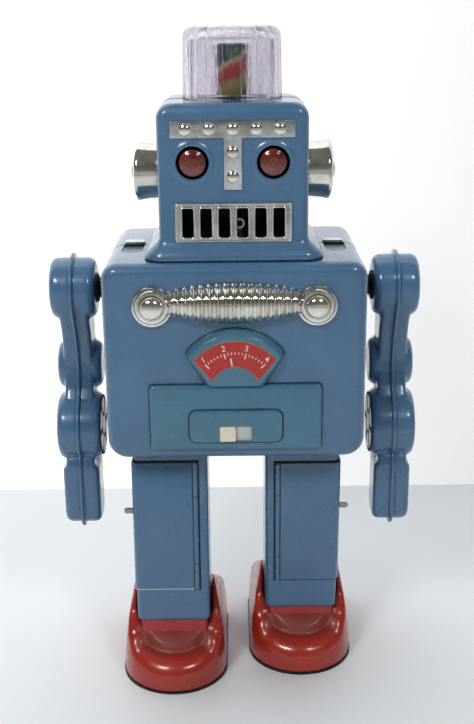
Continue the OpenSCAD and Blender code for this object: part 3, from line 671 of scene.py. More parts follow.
def eye(x, z, word):
    """Red lens in its hole, with the pressed ring round it."""
    ring = [(6.85, -0.7), (6.85, -0.05), (7.15, 0.42), (7.8, 0.62), (8.5, 0.5), (9.1, 0.18), (9.5, -0.04),
            (9.5, -0.3)]
    place = move(x, head_front, z) @ FACE_FRONT
    mount("eye_ring_" + word, turned(lathe(ring), place), "torso", "blue_paint", BLUE)
    bulge = 2.4
    dome = [(8.0, -1.6), (8.0, -0.9), (6.0, -0.8)]
    dome += [(5.95 * cos, -0.8 + bulge * sin - 0.14 * (k % 4 == 2))
             for k, (cos, sin) in enumerate(quarter(16))]
    under = [(5.2 * cos, -1.6 + (bulge - 0.1) * sin) for cos, sin in quarter(8)[::-1]]
    lens = lathe(dome + under + [(8.0, -1.6)])
    mount("lens_" + word, turned(lens, place), "torso", "red_lens", LENS,
          ["eye_lens_" + word])
    # Black ring behind the gap between lens and hole: painted shade for the dark inside of the hole.
    shade_sheet = lathe([(5.95, -0.3), (6.95, -0.3), (6.95, -1.5), (5.95, -1.5), (5.95, -0.3)])
    mount("eye_shade_ring_" + word, turned(shade_sheet, place), "torso", "black_steel", BLACK_JOINT_PRINT_AND_SHADE)


def face():
    low, high = corners("face_plate")
    stem, bar = 3.9, 7.2
    foot = [(stem, low.z), (stem, high.z - bar), (high.x, high.z - bar), (high.x, high.z),
            (low.x, high.z), (low.x, high.z - bar), (-stem, high.z - bar), (-stem, low.z)]
    plate = build("brow_plate", *slab(foot, high.y, low.y))
    bevel(plate, 0.5, 3)
    dress(plate, "torso", "bright_plate", BRIGHT, ["face_plate"], 25)
    dome = [(2.75, -0.1), (2.75, 0.12)] + [(2.6 * cos, 0.12 + 1.22 * sin) for cos, sin in quarter(8)]
    spots = [(9.9 * k, high.z - 3.6) for k in range(-2, 3)]
    spots += [(0, high.z - 13), (0, high.z - 23.2)]
    rivets = [turned(lathe(dome, 32), move(x, low.y, z) @ FACE_FRONT) for x, z in spots]
    mount("brow_rivets", joined(*rivets), "torso", "bright_plate", CHROME, ["face_rivets"])


def grille():
    """Mouth plate with six slots, each with a raised polished border."""
    low, high = corners("mouth_grille")
    plate = build("mouth_plate", *slab(round_box(low.x, high.x, low.z, high.z, 0.8, 0.8, 3),
                                       high.y, low.y + 0.25))
    slots, pitch, half, rims = 6, 7.75, 2.7, []
    for k in range(slots):
        x = (k - (slots - 1) / 2) * pitch
        hole = round_box(x - half, x + half, low.z + 1.7, high.z - 1.9, 1.1, 0.9, 4)
        cut(plate, build("mouth_slot", *slab(hole, high.y + 2, low.y - 2)))
        edge = [(px, low.y + 0.42, pz) for px, pz in inset(hole, -0.12)]
        rims.append(tube(edge, 0.5, 10))
    frame_path = [(px, low.y + 0.45, pz) for px, pz in
                  round_box(low.x + 0.4, high.x - 0.4, low.z + 0.4, high.z - 0.4, 0.6, 0.6, 3)]
    rims.append(tube(frame_path, 0.42, 10))
    dress(plate, "torso", "bright_plate", BRIGHT, ["mouth_grille"])
    mount("mouth_rims", joined(*rims), "torso", "bright_plate", CHROME)


def ears():
    for word, side in sides.items():
        low, high = corners("ear_cup_" + word)
        cup, r = 11.6, (high.z - low.z) / 2
        profile = [(r - 1.9, 0), (r - 1.5, 0.4), (r - 1.15, 4)]
        profile += [(r - 0.9, 7.2)] + arc(2.1, 0, 90, 8, (r - 2.1 - 0.4, cup - 2.3))
        profile += [(7.4, cup + 0.1), (5.2, cup + 0.05), (4.4, cup + 0.5)]
        profile += [(3.7 * math.cos(a), cup + 0.5 + 1.25 * math.sin(a)) for a in
                    [math.radians(15 * k) for k in range(7)]]
        place = move(side * head_half, dome_y, (low.z + high.z) / 2) @ FACE_SIDE[side]
        mount("ear_" + word, turned(lathe(profile, 72), place), "torso", "bright_plate",
              CHROME, ["ear_cup_" + word])


def dome():
    """Fluted clear cap, hollow underneath, over the colour drum."""
    flutes, segments = 16, 320
    height = dome_high.z - dome_low.z
    wall = 1.7

    def ring(radius, depth, z):
        ring_points = []
        for i in range(segments):
            a = 2 * math.pi * i / segments
            scallop = 1 - abs(math.cos(flutes * a / 2)) ** 0.6
            r = radius - depth * scallop
            ring_points.append((r * math.sin(a), dome_y - r * math.cos(a), z))
        return ring_points

    outer = [ring(dome_r, 1.9, head_top)]
    for k in range(1, 6):
        outer.append(ring(dome_r - 0.5 * k / 5, 1.9, head_top + (height - 4.2) * k / 5))
    top_r = dome_r - 0.5
    for k, (cos, sin) in enumerate(quarter(6, 1), 1):
        outer.append(ring(top_r - 3.6 * (1 - cos), 1.9 - 0.5 * k / 6,
                          head_top + height - 4.2 + 4.2 * sin))
    outer.append(ring(top_r - 8, 0.8, head_top + height - 0.25))
    outer.append(ring(2, 0, head_top + height - 0.6))
    inner = [ring(2, 0, head_top + height - 2.0), ring(14, 0.4, head_top + height - 1.7)]
    inner += [ring(18.2, 1.3, head_top + height - 3.0), ring(19.9, 1.5, head_top + height - 5.6),
              ring(dome_r - wall, 1.5, head_top)]
    piece = build("dome", *loft(outer + inner, wrap=True))
    dress(piece, "torso", "clear_dome", DOME, ["crystal_dome"], 50)
    low, high = corners("colour_drum")
    r = high.x
    profile = [(r - 0.8, low.z), (r - 0.2, low.z), (r, low.z + 0.4), (r, high.z - 0.8),
               (r - 0.8, high.z), (1.4, high.z), (1.4, high.z - 0.6), (r - 0.8, high.z - 0.8),
               (r - 0.8, low.z)]
    mount("drum", turned(lathe(profile, 72), move(0, dome_y, 0)), "drum", "drum_print",
          DRUM, ["colour_drum"])


# ---- chest ----

def chest():
    barrel()
    bosses()
    gauge()
    panel()


def barrel():
    """Corrugated half barrel: fat ribs that taper to both ends."""
    low, high = corners("chest_barrel")
    ribs, samples = 17, 8
    half = (high.x - low.x) / 2
    middle = centre_of("chest_barrel")[2]
    fat, thin = (high.z - low.z) / 2, 5.2
    rings = []
    count = ribs * samples
    for k in range(count + 1):
        t = -1 + 2 * k / count
        swell = thin + (fat - thin) * math.cos(math.radians(90 * abs(t) ** 1.15)) ** 0.9
        groove = abs(math.cos(math.pi * ribs * (t + 1) / 2)) ** 1.5
        ring = []
        for i in range(33):
            a = math.radians(180 * i / 32)
            r = swell - 1.5 * groove * math.sin(a) ** 0.7
            ring.append((t * half, torso_front - r * math.sin(a), middle - r * math.cos(a)))
        rings.append(ring)
    mount("chest_bellows", loft(rings), "torso", "bright_plate", CHROME, ["chest_barrel"], 60)


def bosses():
    low, high = corners("chest_bosses")
    z = (low.z + high.z) / 2
    r = (high.z - low.z) / 2
    x = high.x - r
    deep = torso_front - low.y
    profile = [(r, -0.1), (r, 1.6), (r - 0.4, 2.3), (r - 1.2, 2.5), (r - 1.5, 3.2), (r - 2.1, 3.9),
               (r - 3.0, 4.05), (r - 3.5, 3.6), (5.3, 3.5), (5.1, 4.2)]
    profile += [(5.0 * math.cos(a), 4.3 + (deep - 4.3) * math.sin(a)) for a in
                [math.radians(10 * k) for k in range(1, 10)]]
    discs = [turned(lathe(profile, 64), move(side * x, torso_front, z) @ FACE_FRONT) for side in (-1, 1)]
    mount("chest_discs", joined(*discs), "torso", "bright_plate", CHROME, ["chest_bosses"])


def text_part(word, size, x, z, y, tilt):
    """A numeral as a flat mesh part facing the front."""
    curve = bpy.data.curves.new("numeral", "FONT")
    curve.body = word
    curve.size = size
    curve.extrude = 0.06
    curve.offset = 0.02
    curve.resolution_u = 4
    curve.align_x = "CENTER"
    curve.align_y = "CENTER"
    holder = bpy.data.objects.new("numeral", curve)
    bpy.context.scene.collection.objects.link(holder)
    mesh = bpy.data.meshes.new_from_object(holder)
    place = move(x, y, z) @ FACE_FRONT @ Matrix.Rotation(math.radians(-tilt), 4, "Z")
    points = [place @ v.co for v in mesh.vertices]
    faces = [tuple(p.vertices) for p in mesh.polygons]
    bpy.data.objects.remove(holder)
    bpy.data.meshes.remove(mesh)
    return points, faces


def gauge():
    low, high = corners("gauge_housing")
    dial_high = corners("gauge_dial")[1]
    deep = low.y
    big = 22.7
    centre = dial_high.z - big
    rim = high.z - centre
    half = 55

    def polar(radius, degrees):
        a = math.radians(degrees)
        return radius * math.sin(a), centre + radius * math.cos(a)

    def cover(back):
        """Outline of the cover, moved inwards, with its corners rounded."""
        top = [polar(rim - back, half - 5 - (2 * half - 10) * k / 24) for k in range(25)]
        foot = 12.5 - back * 0.75
        turn = [polar(rim - back * 1.1 - d, half - 5 + t)
                for d, t in ((0.35, 2.4), (1.2, 4.2), (2.5, 5.2))]
        right = [(foot - 0.6, low.z + back), (foot + 0.3, low.z + back + 0.5)] + turn[::-1]
        return right + top + [(-x, z) for x, z in right[::-1]]

    depth = torso_front - deep
    steps = ((0, 0), (0, 0.24), (0.7, 0.5), (1.5, 0.82), (1.9, 0.95), (2.3, 1.0), (2.9, 1.0))
    rings = [ring_xz(cover(back), torso_front - depth * h) for back, h in steps]
    mount("gauge_cover", loft(rings), "torso", "teal_paint", TEAL, ["gauge_housing"], 32)
    # Black line round the cover's foot: its joint with the torso, darkened as painted shade.
    mount("gauge_joint_shade", slab(inset(cover(0), -0.35), torso_front + 0.2, torso_front - 0.12),
          "torso", "black_steel", BLACK_JOINT_PRINT_AND_SHADE)
    sector = [polar(big, 52 - 104 * k / 24) for k in range(25)]
    sector += [polar(10.9, -66 + 132 * k / 24) for k in range(25)]
    mount("dial_edge", slab(sector, deep + 0.1, deep - 0.12), "torso", "red_paint", GOLD, (), 25)
    mount("dial_face", slab(inset(sector, 0.2), deep + 0.1, deep - 0.26), "torso", "red_paint",
          DIAL_RED, ["gauge_dial"], 25)
    marks = []
    step = 29.8
    for k, word in enumerate("1234"):
        a = -1.46 * step + 0.973 * step * k
        x, z = polar(19.9, a)
        marks.append(text_part(word, 3.7, x, z, deep - 0.28, a * 0.6))
    for k in range(19):
        a = -1.56 * step + 1.04 * step * k / 6
        long = k % 6 == 0
        marks.append(tick(polar(17.8, a), polar(15.3 if long else 16.8, a), 0.26 if long else 0.2, deep))
    marks.append(tick(polar(15.2, -7.2), polar(11.7, -6.4), 0.3, deep))
    mount("dial_marks", joined(*marks), "torso", "red_paint", WHITE_INK, (), 25)


def tick(start, end, half, deep):
    """Printed line between two points of the dial."""
    (ax, az), (bx, bz) = start, end
    size = math.hypot(bx - ax, bz - az)
    nx, nz = -(bz - az) / size * half, (bx - ax) / size * half
    outline = [(ax + nx, az + nz), (bx + nx, bz + nz), (bx - nx, bz - nz), (ax - nx, az - nz)]
    return slab(outline, deep - 0.2, deep - 0.34)


def panel():
    low, high = corners("chest_panel")
    knob_low, knob_high = corners("switch_knob")
    slot_z = (knob_low.z + knob_high.z) / 2
    front = low.y + 1.2
    slot_x, slot_half = 7.2, 3.7
    box = (low.x, high.x, low.z, high.z)
    plate = build("chest_plate", *loft(box_rings(box, 1.8, (
        (0, torso_front), (0, torso_front - 1.3), (0.15, torso_front - 1.9), (0.6, front + 0.35),
        (1.1, front + 0.08), (1.6, front)))))
    raised = (-20.6, 20.6, slot_z - 4.3, slot_z + 10.9)
    pad = build("chest_pad", *loft(box_rings(raised, 3.4, (
        (0, front + 0.2), (0, front - 0.2), (0.25, low.y + 0.25), (0.7, low.y + 0.04), (1.2, low.y)))))
    for piece in (plate, pad):
        hole = round_box(-slot_x, slot_x, slot_z - slot_half, slot_z + slot_half, 0.4, 0.4, 2)
        cut(piece, build("switch_hole", *slab(hole, torso_front + 2, low.y - 2)))
    # Black lines round the feet of the plate and the pad: painted shade in the crease under the pad, and the
    # plate's joint with the torso darkened as painted shade.
    for name, shape, y in (("panel_joint_shade", round_box(*box, 1.8), torso_front),
                           ("pad_crease_shade", round_box(*raised, 3.4), front)):
        line = inset(shape, -0.4)
        rings = [ring_xz(line, y - 0.1), ring_xz(line, y + 0.2), ring_xz(shape, y + 0.2),
                 ring_xz(shape, y - 0.1)]
        mount(name, loft(rings, wrap=True), "torso", "black_steel", BLACK_JOINT_PRINT_AND_SHADE)
    dress(plate, "torso", "teal_paint", TEAL, ["chest_panel"], 30)
    dress(pad, "torso", "teal_paint", TEAL, (), 30)
    cover = round_box(-0.2, slot_x, slot_z - slot_half, slot_z + slot_half, 0.3, 0.3, 2)
    strip = build("switch_cover", *slab(cover, torso_front, low.y + 1.1))
    bevel(strip, 0.2)
    dress(strip, "switch", "cream_plastic", PALE)
    knob = build("switch_button", *slab(round_box(-7.1, -0.1, slot_z - 3.4, slot_z + 3.4, 0.5, 0.5, 3),
                                        torso_front + 1, knob_low.y + 0.3))
    bevel(knob, 0.5, 3)
    ribs = [tube([(-6.5 + 1.15 * k, knob_low.y + 0.3, slot_z - 2.6),
                  (-6.5 + 1.15 * k, knob_low.y + 0.3, slot_z + 2.6)], 0.28, 8, closed=False)
            for k in range(1, 5)]
    dress(knob, "switch", "cream_plastic", CREAM, ["switch_knob"])
    mount("switch_ridges", joined(*ribs), "switch", "cream_plastic", CREAM)


# ---- arms ----

def arm_lobes():
    """Centre (Y, Z) and radius of an arm's shoulder, elbow and hub."""
    shoulder = centre_of("shoulder_pin_right")[2]
    return ((seam_y, shoulder, 14.2), (seam_y + 9.5, shoulder - 40, 11.6), (seam_y, shoulder - 68, 16.4))


def arm_outline(grow):
    """Side outline of an arm in Y and Z, from the hand's bottom round its back and down its front."""
    shoulder, elbow, hub = arm_lobes()
    low = corners("arm_outer_right")[0].z + 2.2

    def on(lobe, start, end, steps):
        return arc(lobe[2], start, end, steps, lobe[:2])

    toe, heel, r = seam_y - 14.6, seam_y + 5.4, 7.6
    back = arc(r, -90, 0, 6, (heel - r, low + r)) + [(heel, low + 12)] + on(hub, -70, 30, 14)
    back += [(hub[0] + 16.2, hub[1] + 14)] + on(elbow, -30, 55, 10)
    back += [(seam_y + 14.6, shoulder[1] - 15)] + on(shoulder, 10, 90, 10)
    front = on(shoulder, 90, 215, 16)
    front += [(seam_y + y, shoulder[1] - z) for y, z in
              ((-8.3, 14.4), (-5.2, 20), (-3.0, 27), (-2.2, 33), (-2.0, 37.2), (-2.5, 42), (-4.2, 48),
               (-7.2, 53.2))]
    front += on(hub, 138, 222, 12) + [(toe + 0.9, hub[1] - 13.5), (toe, hub[1] - 17)]
    front += [(toe, low + 14)] + arc(r, 180, 270, 6, (toe + r, low + r))
    line = back + front
    return inset(line, -grow) if grow else line


def puck(outline, x0, x1, roll):
    """Outline in Y and Z drawn out along X, its far edge rolled."""
    way = 1 if x1 > x0 else -1
    rings = [[(x0, y, z) for y, z in outline], [(x1 - way * roll, y, z) for y, z in outline]]
    for cos, sin in quarter(5, 1):
        rings.append([(x1 - way * roll * (1 - sin), y, z) for y, z in inset(outline, roll * (1 - cos))])
    return loft(rings)


def arm_half(name, middle, way, thick, body, stands_for):
    """One pressed half of an arm: a slim body with round lobes and a hand, softened where they meet."""
    low = corners("arm_outer_right")[0].z + 2.2
    hub = arm_lobes()[2]
    hand = round_box(seam_y - 14.5, seam_y + 5.3, low, hub[1] - 16, 7.5, 3)
    solids = [puck(arm_outline(0), middle, middle + way * 6.8, 1.6),
              puck(hand, middle, middle + way * 8.7, 3.2)]
    for y, z, r in arm_lobes():
        disc = arc(r, 0, 360, 64, (y, z))[:-1]
        solids.append(puck(disc, middle, middle + way * thick, 3.4))
    piece = build(name, *joined(*solids))
    modify(piece, "REMESH", mode="VOXEL", voxel_size=0.7 * MM, adaptivity=0)
    modify(piece, "SMOOTH", factor=0.5, iterations=7)
    flatten(piece, middle, way)
    return dress(piece, body, "blue_paint", BLUE, stands_for, 60)


def flatten(piece, middle, way):
    """Brings the half's open side back to the seam plane."""
    for vertex in piece.data.vertices:
        if (vertex.co.x / MM - middle) * way < 0.6:
            vertex.co.x = (middle + way * 0.12) * MM


def arm(word, side):
    low, high = corners("arm_outer_" + word)
    middle = low.x if side > 0 else high.x
    thick = high.x - low.x
    body = word + "_arm"
    arm_half("arm_outside_" + word, middle, side, thick, body, ["arm_outer_" + word])
    arm_half("arm_inside_" + word, middle, -side, thick, body, ["arm_inner_" + word])
    bead = [(0.8, -0.6), (0.8, 1.4), (0.62, 1.9), (0, 2.15), (-0.62, 1.9), (-0.8, 1.4), (-0.8, -0.6)]
    rings = [[(middle + x, y, z) for y, z in arm_outline(grow)] for x, grow in bead]
    mount("arm_bead_" + word, loft(rings, wrap=True), body, "blue_paint", BLUE, (), 50)
    wheel(word, middle - side * thick, -side, body)
    pin(word, side, body)


def wheel(word, face_x, way, body):
    """Printed spoked wheel on the arm's inner face, at its lowest lobe."""
    y, z, r = arm_lobes()[2]
    dark, pale = [], []

    def flat(outline, x0, x1):
        return loft([[(x0, py, pz) for py, pz in outline], [(x1, py, pz) for py, pz in outline]])

    disc = arc(r - 1.9, 0, 360, 48, (y, z))[:-1]
    dark.append(flat(disc, face_x - way * 0.3, face_x + way * 0.05))
    for k in range(6):
        a0, a1 = 60 * k + 7, 60 * k + 53
        patch = arc(r - 3.2, a0, a1, 8, (y, z)) + arc(6.4, a1 - 6, a0 + 6, 6, (y, z))
        pale.append(flat(patch, face_x, face_x + way * 0.12))
    pale.append(flat(arc(4.4, 0, 360, 24, (y, z))[:-1], face_x, face_x + way * 0.12))
    mount("wheel_print_dark_" + word, joined(*dark), body, "black_steel", BLACK_JOINT_PRINT_AND_SHADE, (), 25)
    mount("wheel_print_pale_" + word, joined(*pale), body, "bright_plate", PRINT_GREY, (), 25)


def pin(word, side, body):
    """Shoulder pin with its collar and a peened head on the arm's outside."""
    low, high = corners("shoulder_pin_" + word)
    z = centre_of("shoulder_pin_" + word)[2]
    torso_x = side * torso_half
    outer = high.x if side > 0 else low.x
    inner_face = corners("arm_inner_" + word)
    gap_end = inner_face[0].x if side > 0 else inner_face[1].x
    length = abs(gap_end - torso_x)
    collar = [(2.4, 0.3), (6.0, 0.3), (6.4, 1.0), (4.6, 2.2), (4.6, length - 1.6), (6.6, length - 0.9),
              (6.9, length - 0.1), (2.4, length - 0.1)]
    place = move(torso_x, seam_y, z) @ FACE_SIDE[side]
    head_profile = [(2.45, 0), (3.3, 0.0), (3.2, 0.3)] + [
        (3.0 * math.cos(a), 0.3 + 0.3 * math.sin(a)) for a in [math.radians(15 * k) for k in range(1, 7)]]
    tip = move(outer - side * 0.6, seam_y, z) @ FACE_SIDE[side]
    shaft = turned(lathe([(2.3, -2), (2.3, abs(outer - torso_x) - 0.7)], 32), place)
    mount("shoulder_collar_" + word, joined(turned(lathe(collar, 40), place), shaft,
                                                   turned(lathe(head_profile, 40), tip)),
          body, "bare_steel", BLACK_STEEL, ["shoulder_pin_" + word])


# ---- legs ----

def leg_frame(side, x):
    """From a leg that hangs upright, drawn for the right side, to its place in the stride."""
    swing = Matrix.Rotation(math.radians(side * STRIDE), 4, "X")
    flip = Matrix.Scale(-1, 4, (1, 0, 0)) if side > 0 else Matrix.Identity(4)
    return move(x, hip_y, hip_z) @ swing @ move(0, 0, -hip_z) @ flip


def leg(word, side):
    half_w, half_d, bottom, top = 17.5, 19.0, 28.33, 126.0
    place = leg_frame(side, side * leg_x)
    body = word + "_leg"

    def plan(back):
        return round_box(-half_w + back, half_w - back, -half_d + back, half_d - back,
                         max(2.8 - back, 0.5), max(2.8 - back, 0.5), 5)

    roll = 2.3
    rings = []
    for cos, sin in quarter(6):
        rings.append(ring_xy(plan(roll * (1 - sin)), bottom + roll * (1 - cos)))
    rings.append(ring_xy(plan(0), top))
    piece = build("leg_" + word, *turned(loft(rings, first=False, last=False), place))
    shell(piece)
    door_low, door_high, hinge_x = 45.4, 109.3, 11.6
    window = round_box(-half_w + 2.6, hinge_x - 1.6, door_low + 1.8, door_high - 1.8, 1, 1, 3)
    cut(piece, build("window", *turned(slab(window, -half_d + 2, -half_d - 2), place)))
    dress(piece, body, "blue_paint", [BLUE, BARE_TIN], ["leg_shell_" + word])
    door(word, place, half_w, half_d, door_low, door_high, hinge_x)


def door(word, place, half_w, half_d, low, high, hinge_x):
    """Battery door: a plate that wraps the leg's outer corner, hung on a rolled hinge."""
    body = word + "_door"
    out = 0.75
    line_y = -half_d - 0.3
    face_y = -half_d - 0.72
    side_x = -half_w - out
    r = 2.9
    path = [(hinge_x - 3, face_y), (side_x + r + 6, face_y)]
    path += arc(r, 270, 180, 6, (side_x + r, face_y + r))
    path += [(side_x, -half_d + 6)]
    thick = 0.58

    def level(z, grow=0.0, out=0.0):
        """The door's section: its outer line and, one sheet further in, its inner line."""
        line = [(hinge_x - 1.4 + grow * 5.4, face_y - out)]
        line += [(px - out * (i > 5), py - out * (i < 6)) for i, (px, py) in enumerate(path)]
        line[-1] = (line[-1][0], line[-1][1] + grow)
        inner_line = []
        for i, (px, py) in enumerate(line):
            ax, ay = line[max(i - 1, 0)]
            bx, by = line[min(i + 1, len(line) - 1)]
            tx, ty = bx - ax, by - ay
            size = math.hypot(tx, ty)
            inner_line.append((px + thick * ty / size, py - thick * tx / size))
        return [(px, py, z) for px, py in line + inner_line[::-1]]

    # Black plate behind the door, wider than it: painted shade showing in the gaps round the door.
    shade_sheet = loft([level(low - 0.45, 0.6, -0.42), level(high + 0.9, 0.6, -0.42)])
    mount("door_gap_" + word, turned(shade_sheet, place), word + "_leg", "black_steel", BLACK_JOINT_PRINT_AND_SHADE)
    # A pale strip along the right door's lower edge.
    if word == "right":
        edge = loft([level(low - 0.05, 0, 0.05), level(low + 0.45, 0, 0.05)])
        mount("pale_door_edge", turned(edge, place), body, "blue_paint", PALE)
    plate = build("door_" + word, *turned(loft([level(low), level(high)]), place))
    bevel(plate, 0.22, 2, 50)
    dress(plate, body, "blue_paint", BLUE, ["battery_door_" + word], 35)
    knuckle = 1.2
    spans = {body: [(58.8, 92.2)], word + "_leg": [(low + 0.1, 58.5), (92.5, high - 0.1)]}
    for owner, parts in spans.items():
        rods = []
        for z0, z1 in parts:
            profile = [(0.65, z0), (knuckle - 0.2, z0), (knuckle, z0 + 0.25), (knuckle, z1 - 0.25),
                       (knuckle - 0.2, z1), (0.65, z1), (0.65, z0)]
            rods.append(turned(lathe(profile, 20), place @ move(hinge_x, line_y, 0)))
        mount("hinge_" + owner, joined(*rods), owner, "blue_paint", BLUE)
    tab = [(side_x + 0.5, 82.2), (side_x + 0.5, 84.8)] + [(side_x - 2.2, 85)]
    tab += arc(1.5, 90, 270, 8, (side_x - 3.0, 83.5)) + [(side_x - 2.2, 82)]
    tongue = build("door_tab_" + word, *turned(slab(tab, -half_d + 6, -half_d + 5.2), place))
    bevel(tongue, 0.18)
    dress(tongue, body, "bare_steel", STEEL)


# ---- feet ----

def shoe_plan():
    """Round toe and rounded heel, anticlockwise from the toe's tip, about the ankle pin."""
    half, toe, heel, heel_r = 25.3, -35.0, 47.0, 13.0
    return (arc(half, -90, 0, 22, (0, toe + half)) + [(half, -2 + 6 * k) for k in range(6)]
            + arc(heel_r, 0, 90, 8, (half - heel_r, heel - heel_r))
            + arc(heel_r, 90, 180, 8, (-half + heel_r, heel - heel_r))
            + [(-half, 28 - 6 * k) for k in range(6)] + arc(half, 180, 270, 22, (0, toe + half))[:-1])


def along(table, y):
    """Value read between the rows of a short table of (place, value)."""
    if y <= table[0][0]:
        return table[0][1]
    for (y0, v0), (y1, v1) in zip(table, table[1:]):
        if y <= y1:
            t = (y - y0) / (y1 - y0)
            if table is not INSTEP:
                t = t * t * (3 - 2 * t)
            return v0 + (v1 - v0) * t
    return table[-1][1]


RIM = ((-35, 15.8), (-27, 17.2), (-20, 22.5), (-11, 33), (-3, 42.6), (3, 42.6), (11, 36.5), (22, 29.5),
       (32, 26), (47, 23.5))
ROLL = ((-35, 9.0), (-26, 8.0), (-19, 6.2), (-10, 2.6), (-3, 1.0), (4, 1.0), (12, 2.0), (26, 4.5),
        (47, 6.5))
INSTEP = ((-35, 13.2), (-27, 16.2), (-22, 20.0), (-17, 24.2), (-13, 25.9), (20, 26.2), (30, 25),
          (47, 22.5))


def shoe(word):
    """Pressed shoe: bulbous toe, sloping instep and side walls that rise to the ankle pins."""
    x, y, pin_z = centre_of("ankle_pins_" + word)
    outline = shoe_plan()
    sole = 1.35
    normals = [((q[0] - p[0]), (q[1] - p[1])) for p, q in zip(outline, inset(outline, 1))]
    rings = []

    def ring(values):
        """values gives (inset, height, pull towards the instep) for the outline point at y."""
        points = []
        for (px, py), (nx, ny) in zip(outline, normals):
            back, z, pull = values(py)
            z += (along(INSTEP, py + ny * back) - z) * pull
            points.append((px + nx * back, py + ny * back, z))
        rings.append(points)

    def lean(z):
        return 0.1 + 5.8 * (max(z - sole, 0) / 42) ** 1.8

    for k in range(8):
        def wall(py, k=k):
            z = sole + (along(RIM, py) - along(ROLL, py) - sole) * k / 7
            return lean(z), z, 0
        ring(wall)
    for k in range(1, 9):
        def roll(py, k=k):
            a = math.radians(90 * k / 8)
            r = along(ROLL, py)
            z = along(RIM, py) - r
            return lean(z) + r * (1 - math.cos(a)), z + r * math.sin(a), 0
        ring(roll)
    for out, drop in ((0.5, 0.06), (1.1, 0.3), (1.7, 0.62), (2.4, 0.88), (3.2, 1.0)):
        def inside(py, out=out, drop=drop):
            r, top = along(ROLL, py), along(RIM, py)
            return lean(top - r) + r + out, top, drop
        ring(inside)
    last = rings[-1]
    for t in (0.25, 0.5, 0.75, 1.0):
        row = []
        for px, py, pz in last:
            qy = py + (min(max(py, -13), 30) - py) * t
            row.append((px * (1 - t), qy, along(INSTEP, qy)))
        rings.append(row)
    place = move(x, y, 0)
    body = word + "_foot"
    piece = build("shoe_" + word, *turned(loft(rings, last=False), place))
    # Per vertex: the darker, duller patch over the instep, above 15 mm.
    dull_patch = piece.data.attributes.new("dull_patch", "FLOAT", "POINT")
    for vertex, value in zip(piece.data.vertices, dull_patch.data):
        px, py, pz = vertex.co.x / MM - x, vertex.co.y / MM - y, vertex.co.z / MM
        across = min(max((19.6 - abs(px)) / 4, 0), 1)
        down = min(max((py + 29 - 0.012 * px * px) / 5, 0), 1) * 0.85
        value.value = across * down * (1 if pz > 15 else 0)
    dress(piece, body, "red_paint", RED, ["foot_shell_" + word], 60)
    block = round_box(-16.2, 16.2, -17.6, 16.4, 2.2, 2.2, 4)
    step = loft([ring_xy(block, 23.5), ring_xy(block, 33.6), ring_xy(inset(block, 1), 34.4)])
    # Ankle block in the lit copy of the red paint: painted light on its walls.
    mount("ankle_block_" + word, turned(step, place), body, "red_paint", LIT_RED)
    rivets(word, body, x, y, pin_z)


def rivets(word, body, x, y, z):
    """Ankle rivets: a domed head outside the leg and a washer against the shoe's wall."""
    parts = []
    for end in (-1, 1):
        profile = [(1.2, 15.4), (1.2, 17.8), (2.2, 17.85), (2.3, 18.3), (1.9, 18.8), (1.2, 18.9), (1.2, 20.2),
                   (1.0, 20.9), (0, 21)]
        parts.append(turned(lathe(profile, 24), move(x, y, z) @ FACE_SIDE[end]))
    mount("ankle_rivets_" + word, joined(*parts), body, "bright_plate", CHROME,
          ["ankle_pins_" + word])


# ---- scene ----

def camera():
    data = bpy.data.cameras.new("camera")
    data.sensor_fit = "HORIZONTAL"
    data.sensor_width = 36
    data.lens = 84.57
    data.clip_end = 20
    holder = bpy.data.objects.new("camera", data)
    bpy.context.scene.collection.objects.link(holder)
    distance, height, pitch, roll = 460.5, 314.4, 17.9, -0.63
    holder.matrix_world = (move(0.8 * MM, (torso_front - distance) * MM, height * MM)
                           @ Matrix.Rotation(math.radians(90 - pitch), 4, "X")
                           @ Matrix.Rotation(math.radians(roll), 4, "Z"))
    bpy.context.scene.camera = holder


def plain(name, colour, roughness=0.6, glow=0.0):
    material = bpy.data.materials.new(name)
    material.use_nodes = True
    shader = material.node_tree.nodes["Principled BSDF"]
    shader.inputs["Base Color"].default_value = colour
    shader.inputs["Roughness"].default_value = roughness
    if glow:
        shader.inputs["Emission Color"].default_value = (1, 1, 1, 1)
        shader.inputs["Emission Strength"].default_value = glow
    return material


def wall_glow():
    """White wall that glows, brighter towards the left: painted light standing in for the backdrop's uneven
    lighting.
    """
    f = Finish("wall_glow", **{"Base Color": (0.6, 0.61, 0.62, 1), "Roughness": 0.8,
                                "Emission Color": (1, 1, 1, 1)})
    split = f.add("ShaderNodeSeparateXYZ")
    f.link(f.place, split.inputs["Vector"])
    fade = f.step(split.outputs["X"], 0.16, -0.12)
    f.link(f.math("ADD", 0.5, f.math("MULTIPLY", fade, 0.35)), f.shader.inputs["Emission Strength"])
    return f.material


def stage_plane(name, points, material):
    piece = build(name, points, [(0, 1, 2, 3)])
    piece.data.materials.append(material)


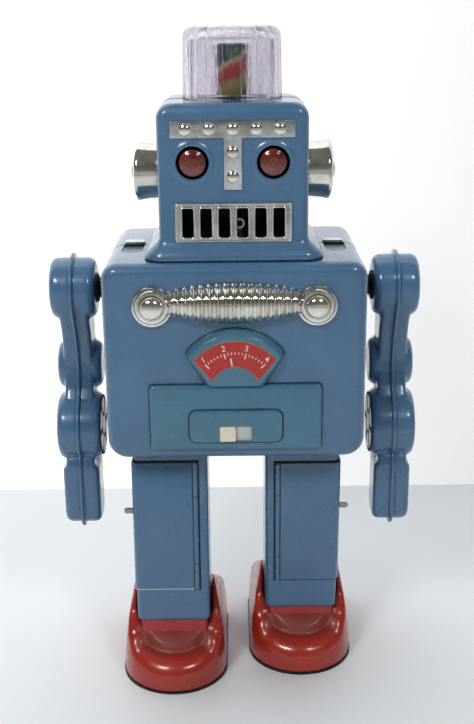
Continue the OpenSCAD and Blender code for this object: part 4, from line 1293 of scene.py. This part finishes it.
def area_light(name, place, target, size, power, colour=(1, 1, 1), glossy=True):
    data = bpy.data.lights.new(name, "AREA")
    data.shape = "RECTANGLE"
    data.size, data.size_y = size
    data.energy = power
    data.color = colour
    holder = bpy.data.objects.new(name, data)
    holder.location = place
    holder.visible_glossy = glossy
    holder.rotation_euler = (Vector(target) - Vector(place)).to_track_quat("-Z", "Y").to_euler()
    bpy.context.scene.collection.objects.link(holder)


def stage():
    far, wide = 193, 1600
    stage_plane("floor", [(-wide, -1500, 0), (wide, -1500, 0), (wide, far, 0), (-wide, far, 0)],
                plain("floor_paint", (0.80, 0.83, 0.86, 1), 0.5))
    stage_plane("wall", [(-wide, far, -400), (wide, far, -400), (wide, far, 1500), (-wide, far, 1500)],
                wall_glow())
    world = bpy.data.worlds.new("room")
    bpy.context.scene.world = world
    world.use_nodes = True
    nodes, links = world.node_tree.nodes, world.node_tree.links
    place = nodes.new("ShaderNodeTexCoord")
    split = nodes.new("ShaderNodeSeparateXYZ")
    ramp = nodes.new("ShaderNodeValToRGB")
    links.new(place.outputs["Generated"], split.inputs["Vector"])
    links.new(split.outputs["Z"], ramp.inputs["Fac"])
    stops = ((0.0, (0.5, 0.5, 0.48)), (0.1, (0.2, 0.2, 0.19)), (0.4, (0.12, 0.12, 0.105)),
             (0.85, (0.2, 0.2, 0.18)))
    while len(ramp.color_ramp.elements) < len(stops):
        ramp.color_ramp.elements.new(0.5)
    for element, (position, colour) in zip(ramp.color_ramp.elements, stops):
        element.position = position
        element.color = (*colour, 1)
    links.new(ramp.outputs["Color"], nodes["Background"].inputs["Color"])
    nodes["Background"].inputs["Strength"].default_value = 0.9
    area_light("key", (-0.5, -0.85, 0.95), (0, 0, 0.15), (0.3, 0.22), 5.4, (1, 0.98, 0.95))
    area_light("fill", (0.42, -0.8, 0.85), (0, 0, 0.15), (0.2, 0.16), 2.2, (0.95, 0.98, 1))
    area_light("top", (-0.1, 0.1, 1.3), (0, 0, 0.1), (0.9, 0.7), 5, glossy=False)
    bpy.context.scene.view_settings.view_transform = "Standard"


camera()
finish_cad_nodes()
torso()
head()
face()
grille()
ears()
dome()
chest()
for word, side in sides.items():
    arm(word, side)
    leg(word, side)
    shoe(word)
stage()
